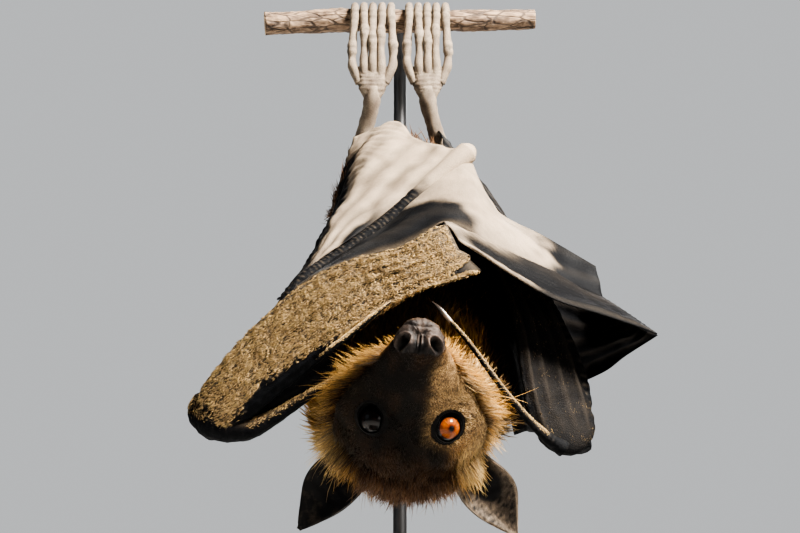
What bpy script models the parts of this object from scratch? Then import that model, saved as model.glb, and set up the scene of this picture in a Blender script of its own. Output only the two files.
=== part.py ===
"""A life-size flying fox hanging head down from a short cut branch on a stand.

Lengths below are in millimetres and are scaled to metres as meshes are made.
+Z is up, the belly and the face look towards -Y, +X is the viewer's right as
they face the animal. Its own left wing is the outer one, wrapped across the
front; its right wing is folded under it.
"""

import math

import bmesh
import bpy
import numpy as np
from mathutils import Vector
from mathutils.bvhtree import BVHTree

MM = 0.001
GAP = 0.3  # clear space left between neighbouring solids
SHEET = 0.9  # thickness of the wing membranes
PERCH = (0.0, 48.0, 489.0)
PERCH_RADIUS = 5.6
PERCH_LENGTH = 132.0
ROD_RADIUS = 3.2
BASE = (240.0, 220.0, 15.0)

# The head is built on its own axes: forward from the back of the skull to the
# nose, towards the crown, and across towards +X.
NOSE = np.array((7.6, -85.0, 276.0))
FORWARD = np.array((0.057, -0.986, 0.153))
FORWARD /= np.linalg.norm(FORWARD)
CROWN = np.array((-0.095, -0.158, -0.983))
CROWN -= FORWARD * CROWN.dot(FORWARD)
CROWN /= np.linalg.norm(CROWN)
ACROSS = np.cross(FORWARD, CROWN)
SKULL = NOSE - 74.0 * FORWARD


def clear_scene():
    for obj in list(bpy.data.objects):
        bpy.data.objects.remove(obj, do_unlink=True)


def collection(name, hidden=False):
    found = bpy.data.collections.get(name)
    if found is None:
        found = bpy.data.collections.new(name)
        bpy.context.scene.collection.children.link(found)
        found.hide_render = hidden
    return found


def material(name, colour, roughness):
    made = bpy.data.materials.new(name)
    made.use_nodes = True
    shader = made.node_tree.nodes["Principled BSDF"]
    shader.inputs["Base Color"].default_value = (*colour, 1.0)
    shader.inputs["Roughness"].default_value = roughness
    return made


def add_object(name, mesh, colour=(0.2, 0.2, 0.2), roughness=0.8):
    obj = bpy.data.objects.new(name, mesh)
    collection("fruit_bat").objects.link(obj)
    mesh.materials.clear()
    mesh.materials.append(material(name, colour, roughness))
    return obj


def mesh_from(name, points, faces):
    """A mesh from millimetre points, with its faces turned outwards."""
    mesh = bpy.data.meshes.new(name)
    mesh.from_pydata((np.asarray(points, float) * MM).tolist(), [], faces)
    return outward(mesh)


def outward(mesh):
    """The mesh with every face turned outwards."""
    shape = bmesh.new()
    shape.from_mesh(mesh)
    bmesh.ops.recalc_face_normals(shape, faces=shape.faces)
    volume = shape.calc_volume(signed=True)
    if volume < 0:
        bmesh.ops.reverse_faces(shape, faces=shape.faces)
    shape.to_mesh(mesh)
    shape.free()
    return mesh


def smooth_path(points, count):
    """Points spaced evenly along a Catmull-Rom curve through the given rows."""
    rows = np.asarray(points, float)
    padded = np.vstack([2 * rows[0] - rows[1], rows, 2 * rows[-1] - rows[-2]])
    steps = np.linspace(0.0, len(rows) - 1.0, 24 * (len(rows) - 1) + 1)
    index = np.minimum(steps.astype(int), len(rows) - 2)
    t = (steps - index)[:, None]
    a, b, c, d = (padded[index + k] for k in range(4))
    dense = 0.5 * (2 * b + (c - a) * t + (2 * a - 5 * b + 4 * c - d) * t**2 + (3 * b - a - 3 * c + d) * t**3)
    along = np.concatenate([[0.0], np.cumsum(np.linalg.norm(np.diff(dense[:, :3], axis=0), axis=1))])
    wanted = np.linspace(0.0, along[-1], count)
    return np.stack([np.interp(wanted, along, dense[:, k]) for k in range(rows.shape[1])], axis=1)


def unit(rows):
    return rows / np.maximum(np.linalg.norm(rows, axis=-1, keepdims=True), 1e-9)


def tube(centres, wide, deep, sides):
    """Points and faces of a closed tube whose section at each centre has the half axes wide and deep."""
    angles = np.arange(sides) * 2 * math.pi / sides
    rings = (
        centres[:, None, :]
        + wide[:, None, :] * np.cos(angles)[None, :, None]
        + deep[:, None, :] * np.sin(angles)[None, :, None]
    )
    count = len(centres)
    ends = np.array([centres[0] - 0.35 * (rings[1].mean(0) - rings[0].mean(0)), centres[-1] + 0.35 * (rings[-1].mean(0) - rings[-2].mean(0))])
    points = np.vstack([rings.reshape(-1, 3), ends])
    faces = []
    for ring in range(count - 1):
        for side in range(sides):
            following = (side + 1) % sides
            faces.append((ring * sides + side, ring * sides + following, (ring + 1) * sides + following, (ring + 1) * sides + side))
    first, last = count * sides, count * sides + 1
    for side in range(sides):
        following = (side + 1) % sides
        faces.append((first, following, side))
        faces.append((last, (count - 1) * sides + side, (count - 1) * sides + following))
    return points, faces


def limb(name, stations, count, sides, across=(1.0, 0.0, 0.0)):
    """A tapered limb. Stations are x, y, z, half width and half depth; width lies along across."""
    rows = smooth_path([s if len(s) == 5 else (*s, s[3]) for s in stations], count)
    centres = rows[:, :3]
    tangent = unit(np.gradient(centres, axis=0))
    side = np.asarray(across, float)[None, :]
    side = unit(side - tangent * (side * tangent).sum(1, keepdims=True))
    back = np.cross(tangent, side)
    return mesh_from(name, *tube(centres, side * rows[:, 3:4], back * rows[:, 4:5], sides))


def band(name, upper, lower, half, count, sides):
    """A flat limb filling the space between two edges, half as thick as given at each end and the middle."""
    top, bottom = smooth_path(upper, count), smooth_path(lower, count)
    centres = (top + bottom) / 2
    wide = (top - bottom) / 2
    tangent = unit(np.gradient(centres, axis=0))
    normal = unit(np.cross(tangent, wide))
    thick = np.interp(np.linspace(0, 1, count), np.linspace(0, 1, len(half)), half)
    return mesh_from(name, *tube(centres, wide, normal * thick[:, None], sides))


def sheet(name, rails, across, along, bulge=(0.0, 0.0, 0.0), thickness=SHEET):
    """A membrane hung between rails, its middle pushed out by bulge, given its thickness by a Solidify."""
    lines = np.stack([smooth_path(rail, along) for rail in rails], axis=1)
    grid = np.stack([smooth_path(line, across) for line in lines])
    arch = np.sin(np.linspace(0, math.pi, across))[None, :, None] * np.sin(np.linspace(0, math.pi, along))[:, None, None]
    grid = grid + arch * np.asarray(bulge, float)
    faces = [
        (row * across + col, row * across + col + 1, (row + 1) * across + col + 1, (row + 1) * across + col)
        for row in range(along - 1)
        for col in range(across - 1)
    ]
    mesh = bpy.data.meshes.new(name)
    mesh.from_pydata((grid.reshape(-1, 3) * MM).tolist(), [], faces)
    carrier = bpy.data.objects.new(name + "_sheet", mesh)
    collection("cutters", hidden=True).objects.link(carrier)
    solidify = carrier.modifiers.new("Thickness", "SOLIDIFY")
    solidify.thickness = thickness * MM
    solidify.offset = 0.0
    solid = outward(evaluated(carrier, name))
    bpy.data.objects.remove(carrier, do_unlink=True)
    return solid


def evaluated(obj, name):
    """A new mesh holding the object's evaluated shape."""
    bpy.context.view_layer.update()
    graph = bpy.context.evaluated_depsgraph_get()
    mesh = bpy.data.meshes.new_from_object(obj.evaluated_get(graph))
    mesh.name = name
    return mesh


def ball(name, centre, radius, segments=16, rings=10):
    """A UV sphere."""
    shape = bmesh.new()
    bmesh.ops.create_uvsphere(shape, u_segments=segments, v_segments=rings, radius=radius * MM)
    bmesh.ops.translate(shape, verts=shape.verts, vec=Vector(np.asarray(centre, float) * MM))
    mesh = bpy.data.meshes.new(name)
    shape.to_mesh(mesh)
    shape.free()
    return mesh


def helper(mesh):
    obj = bpy.data.objects.new(mesh.name + "_helper", mesh)
    obj.hide_render = True
    obj.display_type = "WIRE"
    collection("cutters", hidden=True).objects.link(obj)
    return obj


def inflated(obj, by=GAP):
    """A copy of the object's mesh grown outwards by a gap."""
    shape = bmesh.new()
    shape.from_mesh(obj.data)
    shape.normal_update()
    moves = [(vert, vert.normal * by * MM * 1.15) for vert in shape.verts]
    for vert, move in moves:
        vert.co += move
    mesh = bpy.data.meshes.new(obj.name + "_grown")
    shape.to_mesh(mesh)
    shape.free()
    return mesh


def boolean(target, other, operation):
    modifier = target.modifiers.new("Cut", "BOOLEAN")
    modifier.operation = operation
    modifier.solver = "EXACT"
    modifier.object = other
    mesh = evaluated(target, target.name)
    target.modifiers.remove(modifier)
    kept = target.data.materials[0] if target.data.materials else None
    target.data = mesh
    if kept:
        mesh.materials.clear()
        mesh.materials.append(kept)


def keep_largest(obj):
    """Leaves only the biggest connected piece of a mesh."""
    shape = bmesh.new()
    shape.from_mesh(obj.data)
    bmesh.ops.remove_doubles(shape, verts=shape.verts, dist=2e-6)
    unseen, islands = set(shape.verts), []
    while unseen:
        stack, island = [unseen.pop()], []
        while stack:
            vert = stack.pop()
            island.append(vert)
            for edge in vert.link_edges:
                other = edge.other_vert(vert)
                if other in unseen:
                    unseen.discard(other)
                    stack.append(other)
        islands.append(island)
    islands.sort(key=lambda verts: -sum(face.calc_area() for face in {f for v in verts for f in v.link_faces}))
    for island in islands[1:]:
        bmesh.ops.delete(shape, geom=island, context="VERTS")
    bmesh.ops.triangulate(shape, faces=shape.faces)
    shape.to_mesh(obj.data)
    shape.free()


def tree_of(obj):
    shape = bmesh.new()
    shape.from_mesh(obj.data)
    tree = BVHTree.FromBMesh(shape)
    shape.free()
    return tree


def bounds(obj):
    points = np.array([v.co[:] for v in obj.data.vertices])
    return points.min(0), points.max(0)


def fit_together(ordered):
    """Cuts each solid clear of every solid before it in the list."""
    for index, obj in enumerate(ordered):
        low, high = bounds(obj)
        for earlier in ordered[:index]:
            near, far = bounds(earlier)
            if np.any(near > high + GAP * MM) or np.any(far < low - GAP * MM):
                continue
            cutter = helper(inflated(earlier))
            if tree_of(obj).overlap(tree_of(cutter)):
                boolean(obj, cutter, "DIFFERENCE")
                keep_largest(obj)
            bpy.data.objects.remove(cutter, do_unlink=True)
            if not len(obj.data.vertices):
                raise ValueError(f"{earlier.name} removed all of {obj.name}")


def join(name, meshes):
    """One solid from overlapping meshes."""
    obj = helper(meshes[0])
    for mesh in meshes[1:]:
        other = helper(mesh)
        boolean(obj, other, "UNION")
        bpy.data.objects.remove(other, do_unlink=True)
    mesh = obj.data
    mesh.name = name
    bpy.data.objects.remove(obj, do_unlink=True)
    return mesh


def on_head(forward, towards_crown, across=0.0):
    return SKULL + FORWARD * forward + CROWN * towards_crown + ACROSS * across


def skull_part(name, stations, count, sides):
    """A tube along the head's forward axis. Stations are forward, towards the crown, half width and half height."""
    rows = smooth_path([(*on_head(s[0], s[1]), s[2], s[3]) for s in stations], count)
    wide = ACROSS[None, :] * rows[:, 3:4]
    tall = CROWN[None, :] * rows[:, 4:5]
    return mesh_from(name, *tube(rows[:, :3], wide, tall, sides))


# An ear's half widths from its base to its tip, on the outer edge and on the inner edge.
EAR_OUTER = (8.8, 11.6, 12.0, 11.4, 8.6, 4.9, 1.2)
EAR_INNER = (7.4, 9.4, 9.3, 8.6, 6.7, 4.0, 1.1)


def ear(name, base, tip, hollow_side, outer, length_rows=7, sides=10):
    """A pointed leaf-shaped ear, dished towards hollow_side and fuller on its outer edge, as a closed shell."""
    base, tip = np.asarray(base, float), np.asarray(tip, float)
    along = unit(tip - base)
    out = np.asarray(hollow_side, float)
    out = unit(out - along * out.dot(along))
    wide = np.cross(along, out)
    rows = []
    for t, far, near in zip(np.linspace(0, 1, length_rows), EAR_OUTER, EAR_INNER):
        centre = base + (tip - base) * t + wide * outer * (far - near) / 2
        half = (far + near) / 2
        arc = np.linspace(-1, 1, sides // 2 + 1)
        dish = 4.2 * math.sin(math.pi * min(1.0, 0.25 + t * 0.8))
        front = [centre + wide * half * a - out * dish * (1 - a * a) for a in arc]
        rear = [p - out * 1.3 for p in front[1:-1]][::-1]
        rows.append(front + rear)
    ring = len(rows[0])
    points = [p for row in rows for p in row]
    faces = []
    for r in range(length_rows - 1):
        for k in range(ring):
            n = (k + 1) % ring
            faces.append((r * ring + k, r * ring + n, (r + 1) * ring + n, (r + 1) * ring + k))
    faces.append(tuple(range(ring)))
    faces.append(tuple((length_rows - 1) * ring + k for k in range(ring))[::-1])
    return mesh_from(name, points, faces)


def head_nodes():
    parts = {}
    parts["head"] = skull_part("head", [(-6, 14, 12, 10), (-1, 15.3, 23, 17.5), (8, 15.4, 28.5, 21.4), (17, 14.6, 30.8, 22.0), (26, 13.0, 30.8, 20.0), (33, 10.8, 29.6, 17.2), (40, 8.0, 26.6, 14.6), (45.5, 5.9, 23.4, 12.9)], 12, 14)
    parts["muzzle"] = skull_part("muzzle", [(44, 6.2, 24.0, 13.2), (48, 4.9, 21.4, 12.3), (54, 3.3, 17.0, 11.0), (60, 2.0, 13.0, 9.9), (66, 1.0, 10.4, 9.0), (71.5, 0.4, 9.0, 7.4)], 9, 12)
    nostrils = [ball("nostril", on_head(72.2, 2.6, across), 4.1, 10, 6) for across in (-3.5, 3.5)]
    parts["nose"] = join("nose", nostrils + [ball("pad", on_head(71.2, 1.0), 4.6, 10, 6)])
    for side, across in (("left", -1.0), ("right", 1.0)):
        parts["eye_" + side] = ball("eye_" + side, on_head(37.0, 17.4, across * 14.2), 6.0, 12, 8)
    parts["ear_left"] = ear("ear_left", (-17.0, -23.5, 246.5), (-41.0, -12.0, 220.5), (0.35, -0.93, 0.10), 1.0)
    parts["ear_right"] = ear("ear_right", (27.5, -22.5, 243.0), (47.0, -11.0, 218.5), (-0.30, -0.95, 0.10), -1.0)
    return parts


def body_nodes():
    return {
        "neck": limb("neck", [(5, -14, 262, 33, 25), (4, -11, 268, 43, 29), (4, -7, 278, 43.5, 31), (4, -3, 290, 40, 30), (4, 3, 302, 37, 28)], 7, 16),
        "trunk": limb("trunk", [(4, 2, 300, 36, 27), (4, 9, 316, 37.5, 27), (3, 20, 336, 36, 27), (2, 31, 357, 34.5, 27), (1, 39, 380, 32, 26), (0, 44, 402, 28, 23), (0, 46, 415, 20, 16), (0, 47, 423, 9, 7)], 12, 16),
    }


# Each toe of a foot: how far its middle sways sideways, how far it stands forward, how high its knuckle sits.
TOES = ((-1.0, 0.8, 470.0), (0.5, -0.6, 475.0), (0.0, -1.2, 472.0), (-0.6, -0.4, 477.0), (1.0, 1.0, 468.0))
TOE_GAP = 4.4


def toe_line(mirror, number):
    """One toe's stations, from the sole up the front of the perch and over it to the claw's point."""
    sway, forward, knuckle = TOES[number]
    spread = (number - 2) * TOE_GAP
    x = mirror * (13.2 + spread)
    m = mirror
    return [
        (m * (13.2 + spread * 0.7), 41.0, 451, 2.2),
        (x + m * sway * 0.6, 38.6 + forward * 0.5, 459, 2.4),
        (x + m * sway, 38.2 + forward, (knuckle + 459) / 2, 1.95),
        (x + m * sway, 37.4 + forward, knuckle, 2.55),
        (x + m * sway * 0.5, 39.2 + forward * 0.4, (knuckle + 487) / 2, 2.0),
        (x, 40.4, 488.5, 2.35),
        (x, 42.7, 494.2, 2.0),
        (x, 48.0, 496.4, 1.9),
        (x, 53.0, 494.0, 1.6),
        (x, 55.2, 489.6, 1.1),
        (x, 54.8, 484.6, 0.35),
    ]


def leg_nodes():
    """Thigh and shank of each leg, and each foot with its toes and claws in one solid."""
    parts = {}
    for side, mirror in (("left", -1.0), ("right", 1.0)):
        knee = (mirror * 28, 73, 396)
        parts["thigh_" + side] = limb("thigh_" + side, [(mirror * 14, 46, 388, 9.5), (mirror * 21, 60, 391, 8.5), (*knee, 6.5)], 6, 10)
        parts["shank_" + side] = limb("shank_" + side, [(mirror * 28, 72, 398, 6.2), (mirror * 22, 62, 418, 5.0), (mirror * 15.5, 49, 435, 4.2), (mirror * 13.3, 43, 444, 4.2)], 7, 10)
        sole = limb("sole", [(mirror * 13.3, 43.0, 443, 4.6, 4.0), (mirror * 13.2, 41.2, 449, 7.4, 3.8), (mirror * 13.2, 39.8, 456, 8.8, 3.0)], 5, 10)
        toes = [limb("toe", toe_line(mirror, number), 10, 5) for number in range(5)]
        parts["foot_" + side] = join("foot_" + side, [sole] + toes)
    return parts


# Lines the wings hang between, from the wrist outwards.
FOREARM_LEFT = [(-82, -22, 268), (-70.5, -27.0, 288.5), (-57, -28, 308), (-42, -23.5, 323), (-25, -18.5, 338), (-6, -13.8, 355), (10, -11, 371), (28, -9, 389)]
HAND_TOP_LEFT = [(-84, -25, 271), (-71, -34.5, 286), (-56, -42, 300), (-38.5, -48.5, 313), (-22.5, -52.5, 320.5), (-7, -55, 324), (2, -56, 326.5), (11.5, -55.5, 333), (18.5, -52.5, 337.5)]
HAND_LOW_LEFT = [(-78, -24, 254), (-65, -31.5, 257.5), (-44, -41.5, 272), (-24, -49.5, 286), (-6, -52.5, 299), (8, -53.5, 307), (18, -52.3, 310.5), (27, -50.5, 314.5)]
TRAIL_LEFT = [(28, -9, 389), (35.5, -1, 379), (44, 4, 367), (64, 3, 355), (85, 0, 340)]
FOLD_LEFT = [(18.8, -50.5, 338), (37, -42, 333), (54.5, -30, 330), (72, -17.5, 325.5), (86.5, -7.5, 323)]
DIGIT_LEFT = [(24, -52, 330), (34, -51.5, 323), (45, -49.5, 316), (63, -45, 307), (84, -38.8, 302.5), (106, -28.5, 298.5)]
TIP_LEFT = [(106, -25.5, 297.5), (94, -17.5, 293), (85, -7, 289), (68, 10, 287), (46, 22, 286)]
FOREARM_RIGHT = [(72, -15, 254), (73, -9, 288), (66, -3, 315), (51, 0, 345), (34, 4, 370), (17, 11, 389)]


def wing_bones():
    return {
        "wing_left_forearm": limb("wing_left_forearm", [(*FOREARM_LEFT[0], 6.2), (*FOREARM_LEFT[1], 5.0), (*FOREARM_LEFT[3], 4.3), (*FOREARM_LEFT[5], 4.7), (*FOREARM_LEFT[6], 5.5), (*FOREARM_LEFT[7], 5.4)], 13, 9),
        "wing_left_upper_arm": limb("wing_left_upper_arm", [(-36, 8, 314, 8.0), (-20, 4, 334, 7.6), (6, 3, 363, 7.2), (27, -1, 388, 6.4)], 8, 9),
        "wing_left_hand": band("wing_left_hand", HAND_TOP_LEFT, HAND_LOW_LEFT, (5.0, 4.0, 3.4, 3.2, 3.0), 13, 10),
        "wing_left_thumb": limb("wing_left_thumb", [(-68, -30, 255, 4.4), (-57, -32, 258.5, 3.6), (-46, -34.5, 265, 2.8), (-36, -38, 272, 2.4), (-28, -40.5, 277.5, 1.8), (-22, -41.5, 281, 0.7)], 10, 7),
        "wing_right_forearm": limb("wing_right_forearm", [(*FOREARM_RIGHT[0], 7.0), (*FOREARM_RIGHT[1], 5.2), (*FOREARM_RIGHT[3], 5.0), (*FOREARM_RIGHT[4], 5.4), (*FOREARM_RIGHT[5], 5.2)], 12, 9),
        "wing_right_upper_arm": limb("wing_right_upper_arm", [(35, 9, 314, 8.0), (31, 10, 338, 7.0), (24, 13, 366, 6.2), (17, 16, 387, 5.6)], 8, 9),
        "wing_right_hand": band("wing_right_hand", [(80, -16, 253), (79.5, -15.5, 267), (75.5, -16, 281), (72, -16.5, 293), (67, -17, 307), (59, -17.5, 322), (50, -18, 336)], [(62, -22, 246.5), (53, -26, 262), (49.5, -28.5, 281), (48, -28.5, 296), (45, -27, 312), (40, -25, 328), (36, -24, 338)], (4.6, 3.6, 3.2, 2.6), 10, 10),
        "wing_right_thumb": limb("wing_right_thumb", [(62, -29, 254, 3.8), (50, -35, 262, 3.2), (40, -42, 272, 2.6), (28, -48.5, 287, 2.2), (18, -50.5, 298, 1.8), (12.5, -49.8, 305, 0.7)], 10, 7),
    }


def wing_sheets():
    return {
        # Skin between the forearm and the folded hand, out to the trailing corner.
        "wing_left_elbow_fold": sheet("wing_left_elbow_fold", [
            FOREARM_LEFT[1:] + TRAIL_LEFT[1:],
            [(-70, -36, 290), (-45, -40, 314), (-22, -42, 328), (2, -43, 338), (30, -34, 352), (52, -18, 347), (70, -6, 340), (86, -3, 332)],
            HAND_TOP_LEFT[1:-1] + [(20, -51, 339)] + FOLD_LEFT[1:],
        ], 6, 17),
        # The fan of fingers from the knuckles to the wing tip.
        "wing_left_fingers": sheet("wing_left_fingers", [FOLD_LEFT, [(21, -52.5, 335), (36, -48.5, 329), (50, -42, 324), (68, -33, 317.5), (97, -17, 311)], DIGIT_LEFT], 5, 10),
        # The ends of the fingers, folded back beneath and behind the other hand.
        "wing_left_tip": sheet("wing_left_tip", [
            [(88, -3, 322), (86, 6, 326), (78, 16, 334), (64, 23, 342), (48, 27, 347)],
            [(98, -14, 309), (92, -4, 308), (83, 9, 311), (67, 18, 315), (48, 25, 320)],
            TIP_LEFT,
        ], 5, 9),
        # From the flank and the ankle to the elbow and along the forearm.
        "wing_left_arm_membrane": sheet("wing_left_arm_membrane", [
            [(-22, 44, 424), (-26, 44, 409), (-29, 41, 392), (-33, 33, 370), (-42, 14, 345), (-53, 2, 325)],
            [(-2, 34, 427), (-13, 26, 412), (-19, 17, 395), (-25, 8, 374), (-34, -6, 348), (-44, -14, 328)],
            [(7, 23, 413), (9, 11, 401), (4, -1, 386), (-6, -9, 369), (-20, -15, 350), (-37, -20.5, 332)],
            [(22, 5, 399), (26, -5, 393), (16, -9, 382), (2, -12, 368), (-14, -15.5, 352), (-34, -20.5, 335)],
        ], 8, 11),
        "wing_left_propatagium": sheet("wing_left_propatagium", [
            [(-80, -22, 282), (-64, -26, 305), (-50, -22, 322), (-40, -17, 334)],
            [(-76, -12, 277), (-60, -8, 297), (-52, 0, 316), (-50, 2, 328)],
            [(-70, -14, 268), (-56, 2, 285), (-48, 12, 303), (-47, 16, 320)],
        ], 5, 7),
        "wing_right_arm_membrane": sheet("wing_right_arm_membrane", [
            [(18, 52, 432), (30, 46, 410), (38, 41, 384), (44, 31, 350), (49, 24, 320), (54, 18, 300)],
            [(20, 32, 417), (33, 25, 398), (46, 21, 374), (57, 14, 342), (65, 8, 314), (69, 4, 292)],
            [(20, 17, 400), (33, 9, 382), (47, 5, 364), (60, 2.5, 336), (71, -2, 308), (76, -7, 286)],
        ], 6, 11),
        "wing_right_propatagium": sheet("wing_right_propatagium", [
            [(74, -11, 272), (75, -6, 286), (70, 0, 306)],
            [(66, -4, 266), (65, 2, 282), (61, 8, 302)],
            [(58, -1, 264), (55, 8, 281), (52, 17, 302)],
        ], 5, 6),
        # Skin between each folded hand and what lies behind it.
        "wing_right_inner_membrane": sheet("wing_right_inner_membrane", [
            [(56, -22.5, 258), (52.5, -24, 278), (50, -24, 295), (47, -23, 311), (42, -21, 327), (36, -18, 345)],
            [(54, -10, 262), (51.5, -11, 280), (48.5, -10, 297), (45, -8, 314), (41, -6, 332), (37, -4, 347)],
            [(53, 2, 266), (50.5, 3, 283), (47.5, 5, 300), (44, 8, 317), (41, 10, 334), (38.5, 12, 348)],
            [(49, 14, 268), (46, 16, 284), (42, 18, 301), (39, 20, 318), (37, 22, 335), (35, 24, 349)],
        ], 6, 9),
        "wing_left_thumb_web": sheet("wing_left_thumb_web", [
            [(-66, -28.5, 261), (-57, -32, 265), (-46, -37, 272.5), (-36, -41, 279.5), (-24, -45.5, 287.5)],
            [(-66, -27.5, 258.5), (-57, -30, 261.5), (-47, -33, 268), (-38, -36.5, 274.5), (-30, -39, 280)],
        ], 3, 8),
    }


def stand_nodes():
    """The cut branch, the rod behind the body and the base."""
    parts = {}
    x, y, z = PERCH
    half = PERCH_LENGTH / 2
    parts["perch"] = limb("perch", [
        (x - half, y - 2.0, z - 2.5, PERCH_RADIUS * 0.97), (x - half * 0.55, y + 0.6, z + 0.6, PERCH_RADIUS * 1.04), (x - half * 0.1, y, z, PERCH_RADIUS * 0.99),
        (x + half * 0.4, y - 0.5, z - 0.4, PERCH_RADIUS * 0.97), (x + half, y + 1.5, z + 2.2, PERCH_RADIUS * 0.88),
    ], 10, 12, across=(0.0, 0.0, 1.0))
    parts["stand_rod"] = limb("stand_rod", [(0, 84, 16, ROD_RADIUS), (0, 84, 200, ROD_RADIUS), (0, 84, 430, ROD_RADIUS), (0, 83, 455, ROD_RADIUS), (0, 75, 475, ROD_RADIUS), (0, 57, 488.5, ROD_RADIUS)], 18, 12)
    plate = bmesh.new()
    bmesh.ops.create_cube(plate, size=1.0)
    bmesh.ops.scale(plate, verts=plate.verts, vec=Vector([side * MM for side in BASE]))
    bmesh.ops.translate(plate, verts=plate.verts, vec=Vector((0, 0, BASE[2] / 2 * MM)))
    mesh = bpy.data.meshes.new("stand_base")
    plate.to_mesh(mesh)
    plate.free()
    carrier = bpy.data.objects.new("base_block", mesh)
    collection("cutters", hidden=True).objects.link(carrier)
    bevel = carrier.modifiers.new("Edges", "BEVEL")
    bevel.width = 2.5 * MM
    bevel.segments = 2
    parts["stand_base"] = evaluated(carrier, "stand_base")
    bpy.data.objects.remove(carrier, do_unlink=True)
    return parts


COLOURS = {
    "eye": ((0.35, 0.12, 0.03), 0.1),
    "ear": ((0.03, 0.025, 0.02), 0.7),
    "head": ((0.08, 0.05, 0.03), 0.9),
    "muzzle": ((0.05, 0.04, 0.03), 0.8),
    "nose": ((0.06, 0.05, 0.045), 0.5),
    "neck": ((0.45, 0.2, 0.06), 0.9),
    "trunk": ((0.12, 0.07, 0.04), 0.9),
    "thigh": ((0.1, 0.06, 0.04), 0.9),
    "shank": ((0.3, 0.22, 0.15), 0.8),
    "foot": ((0.4, 0.3, 0.22), 0.7),
    "wing": ((0.05, 0.045, 0.04), 0.6),
    "perch": ((0.25, 0.15, 0.08), 0.9),
    "stand": ((0.3, 0.3, 0.3), 0.4),
}


def main():
    clear_scene()
    parts = {}
    for group in (stand_nodes(), head_nodes(), leg_nodes(), body_nodes(), wing_bones(), wing_sheets()):
        parts.update(group)
    objects = {}
    for name, mesh in parts.items():
        colour, roughness = COLOURS[name.split("_")[0]]
        objects[name] = add_object(name, mesh, colour, roughness)
    order = [
        "stand_base", "perch", "stand_rod", "eye_left", "eye_right", "foot_left", "foot_right",
        "wing_left_thumb", "wing_right_thumb", "wing_left_hand", "wing_left_forearm", "wing_right_hand", "wing_right_forearm",
        "wing_left_upper_arm", "wing_right_upper_arm", "nose", "head", "muzzle", "ear_left", "ear_right", "shank_left", "shank_right",
        "wing_left_fingers", "wing_left_elbow_fold", "wing_left_arm_membrane", "wing_left_tip", "wing_left_propatagium", "wing_left_thumb_web", "wing_right_inner_membrane",
        "wing_right_arm_membrane", "wing_right_propatagium", "thigh_left", "thigh_right", "neck", "trunk",
    ]
    assert sorted(order) == sorted(objects)
    fit_together([objects[name] for name in order])
    for obj in objects.values():
        obj.data.shade_smooth()
        obj.data.set_sharp_from_angle(angle=math.radians(40))


if __name__ == "__main__":
    main()
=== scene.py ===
"""A life-size fruit bat, head down under a cut branch with its wings folded round it, on a display stand.

Lengths inside the classes are millimetres. +Z is up, the face and belly look
towards -Y, and +X is on the right of someone facing the bat. The bat's own
left wing is the outer one, drawn across its front; its right wing lies under it.
"""

from __future__ import annotations

import logging
import math
from collections.abc import Callable, Sequence
from dataclasses import dataclass, field
from enum import Enum, IntEnum

import bpy
import numpy as np
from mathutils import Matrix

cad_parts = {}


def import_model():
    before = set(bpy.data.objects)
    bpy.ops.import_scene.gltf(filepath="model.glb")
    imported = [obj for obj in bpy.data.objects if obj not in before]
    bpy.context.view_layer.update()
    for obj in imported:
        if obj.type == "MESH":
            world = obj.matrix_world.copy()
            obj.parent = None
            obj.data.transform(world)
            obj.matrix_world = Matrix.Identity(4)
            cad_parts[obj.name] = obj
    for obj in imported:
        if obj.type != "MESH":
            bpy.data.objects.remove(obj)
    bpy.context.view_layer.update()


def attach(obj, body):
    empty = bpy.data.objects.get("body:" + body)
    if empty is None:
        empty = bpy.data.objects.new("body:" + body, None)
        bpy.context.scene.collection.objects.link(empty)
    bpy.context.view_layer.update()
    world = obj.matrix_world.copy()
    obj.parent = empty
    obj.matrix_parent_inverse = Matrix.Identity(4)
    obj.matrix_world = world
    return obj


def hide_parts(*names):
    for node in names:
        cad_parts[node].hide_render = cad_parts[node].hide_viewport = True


Array = np.ndarray
Triple = tuple[float, float, float]
LOG = logging.getLogger("fruit_bat")
MM = 0.001


class Finish(Enum):
    """Names of the material slots."""

    FACE = "face_coat"
    MANTLE = "mantle_coat"
    BODY = "body_coat"
    NOSE = "nose_skin"
    EAR = "ear_skin"
    WING = "wing_skin"
    FOOT = "foot_skin"
    CLAW = "claw"
    EYE = "eye"
    BARK = "bark"
    BASE = "stand_base_paint"
    ROD = "stand_rod_steel"


# ---------------------------------------------------------------- curves and fields


def unit(rows: Array) -> Array:
    """Return the rows scaled to length one."""
    return rows / np.maximum(np.linalg.norm(rows, axis=-1, keepdims=True), 1e-9)


def ease(x: Array, low: float, high: float) -> Array:
    """Return a smooth step from 0 at low to 1 at high.

    Args:
        x: Values to place on the step.
        low: Where the step starts.
        high: Where it ends; it may be below low for a falling step.

    Returns:
        The cubic step 3t^2 - 2t^3 of each value.
    """
    t = np.clip((np.asarray(x, float) - low) / (high - low), 0.0, 1.0)
    return t * t * (3.0 - 2.0 * t)


def mound(*terms: tuple[Array, float, float]) -> Array:
    """Return exp(-sum(((x - centre) / width)^2)) over terms of x, centre and width."""
    return np.exp(-sum(((x - centre) / width) ** 2 for x, centre, width in terms))


def bell(x: Array, centre: float, width: float) -> Array:
    """Return the Gaussian bell exp(-((x - centre) / width)^2)."""
    return mound((x, centre, width))


def turns(count: int) -> Array:
    """Return angles evenly round a circle, from 0."""
    return np.linspace(0, 2 * math.pi, count, endpoint=False)


def arc_lengths(points: Array) -> Array:
    """Return how far each point lies along a line of points."""
    return np.concatenate([[0.0], np.cumsum(np.linalg.norm(np.diff(points, axis=0), axis=1))])


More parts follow.
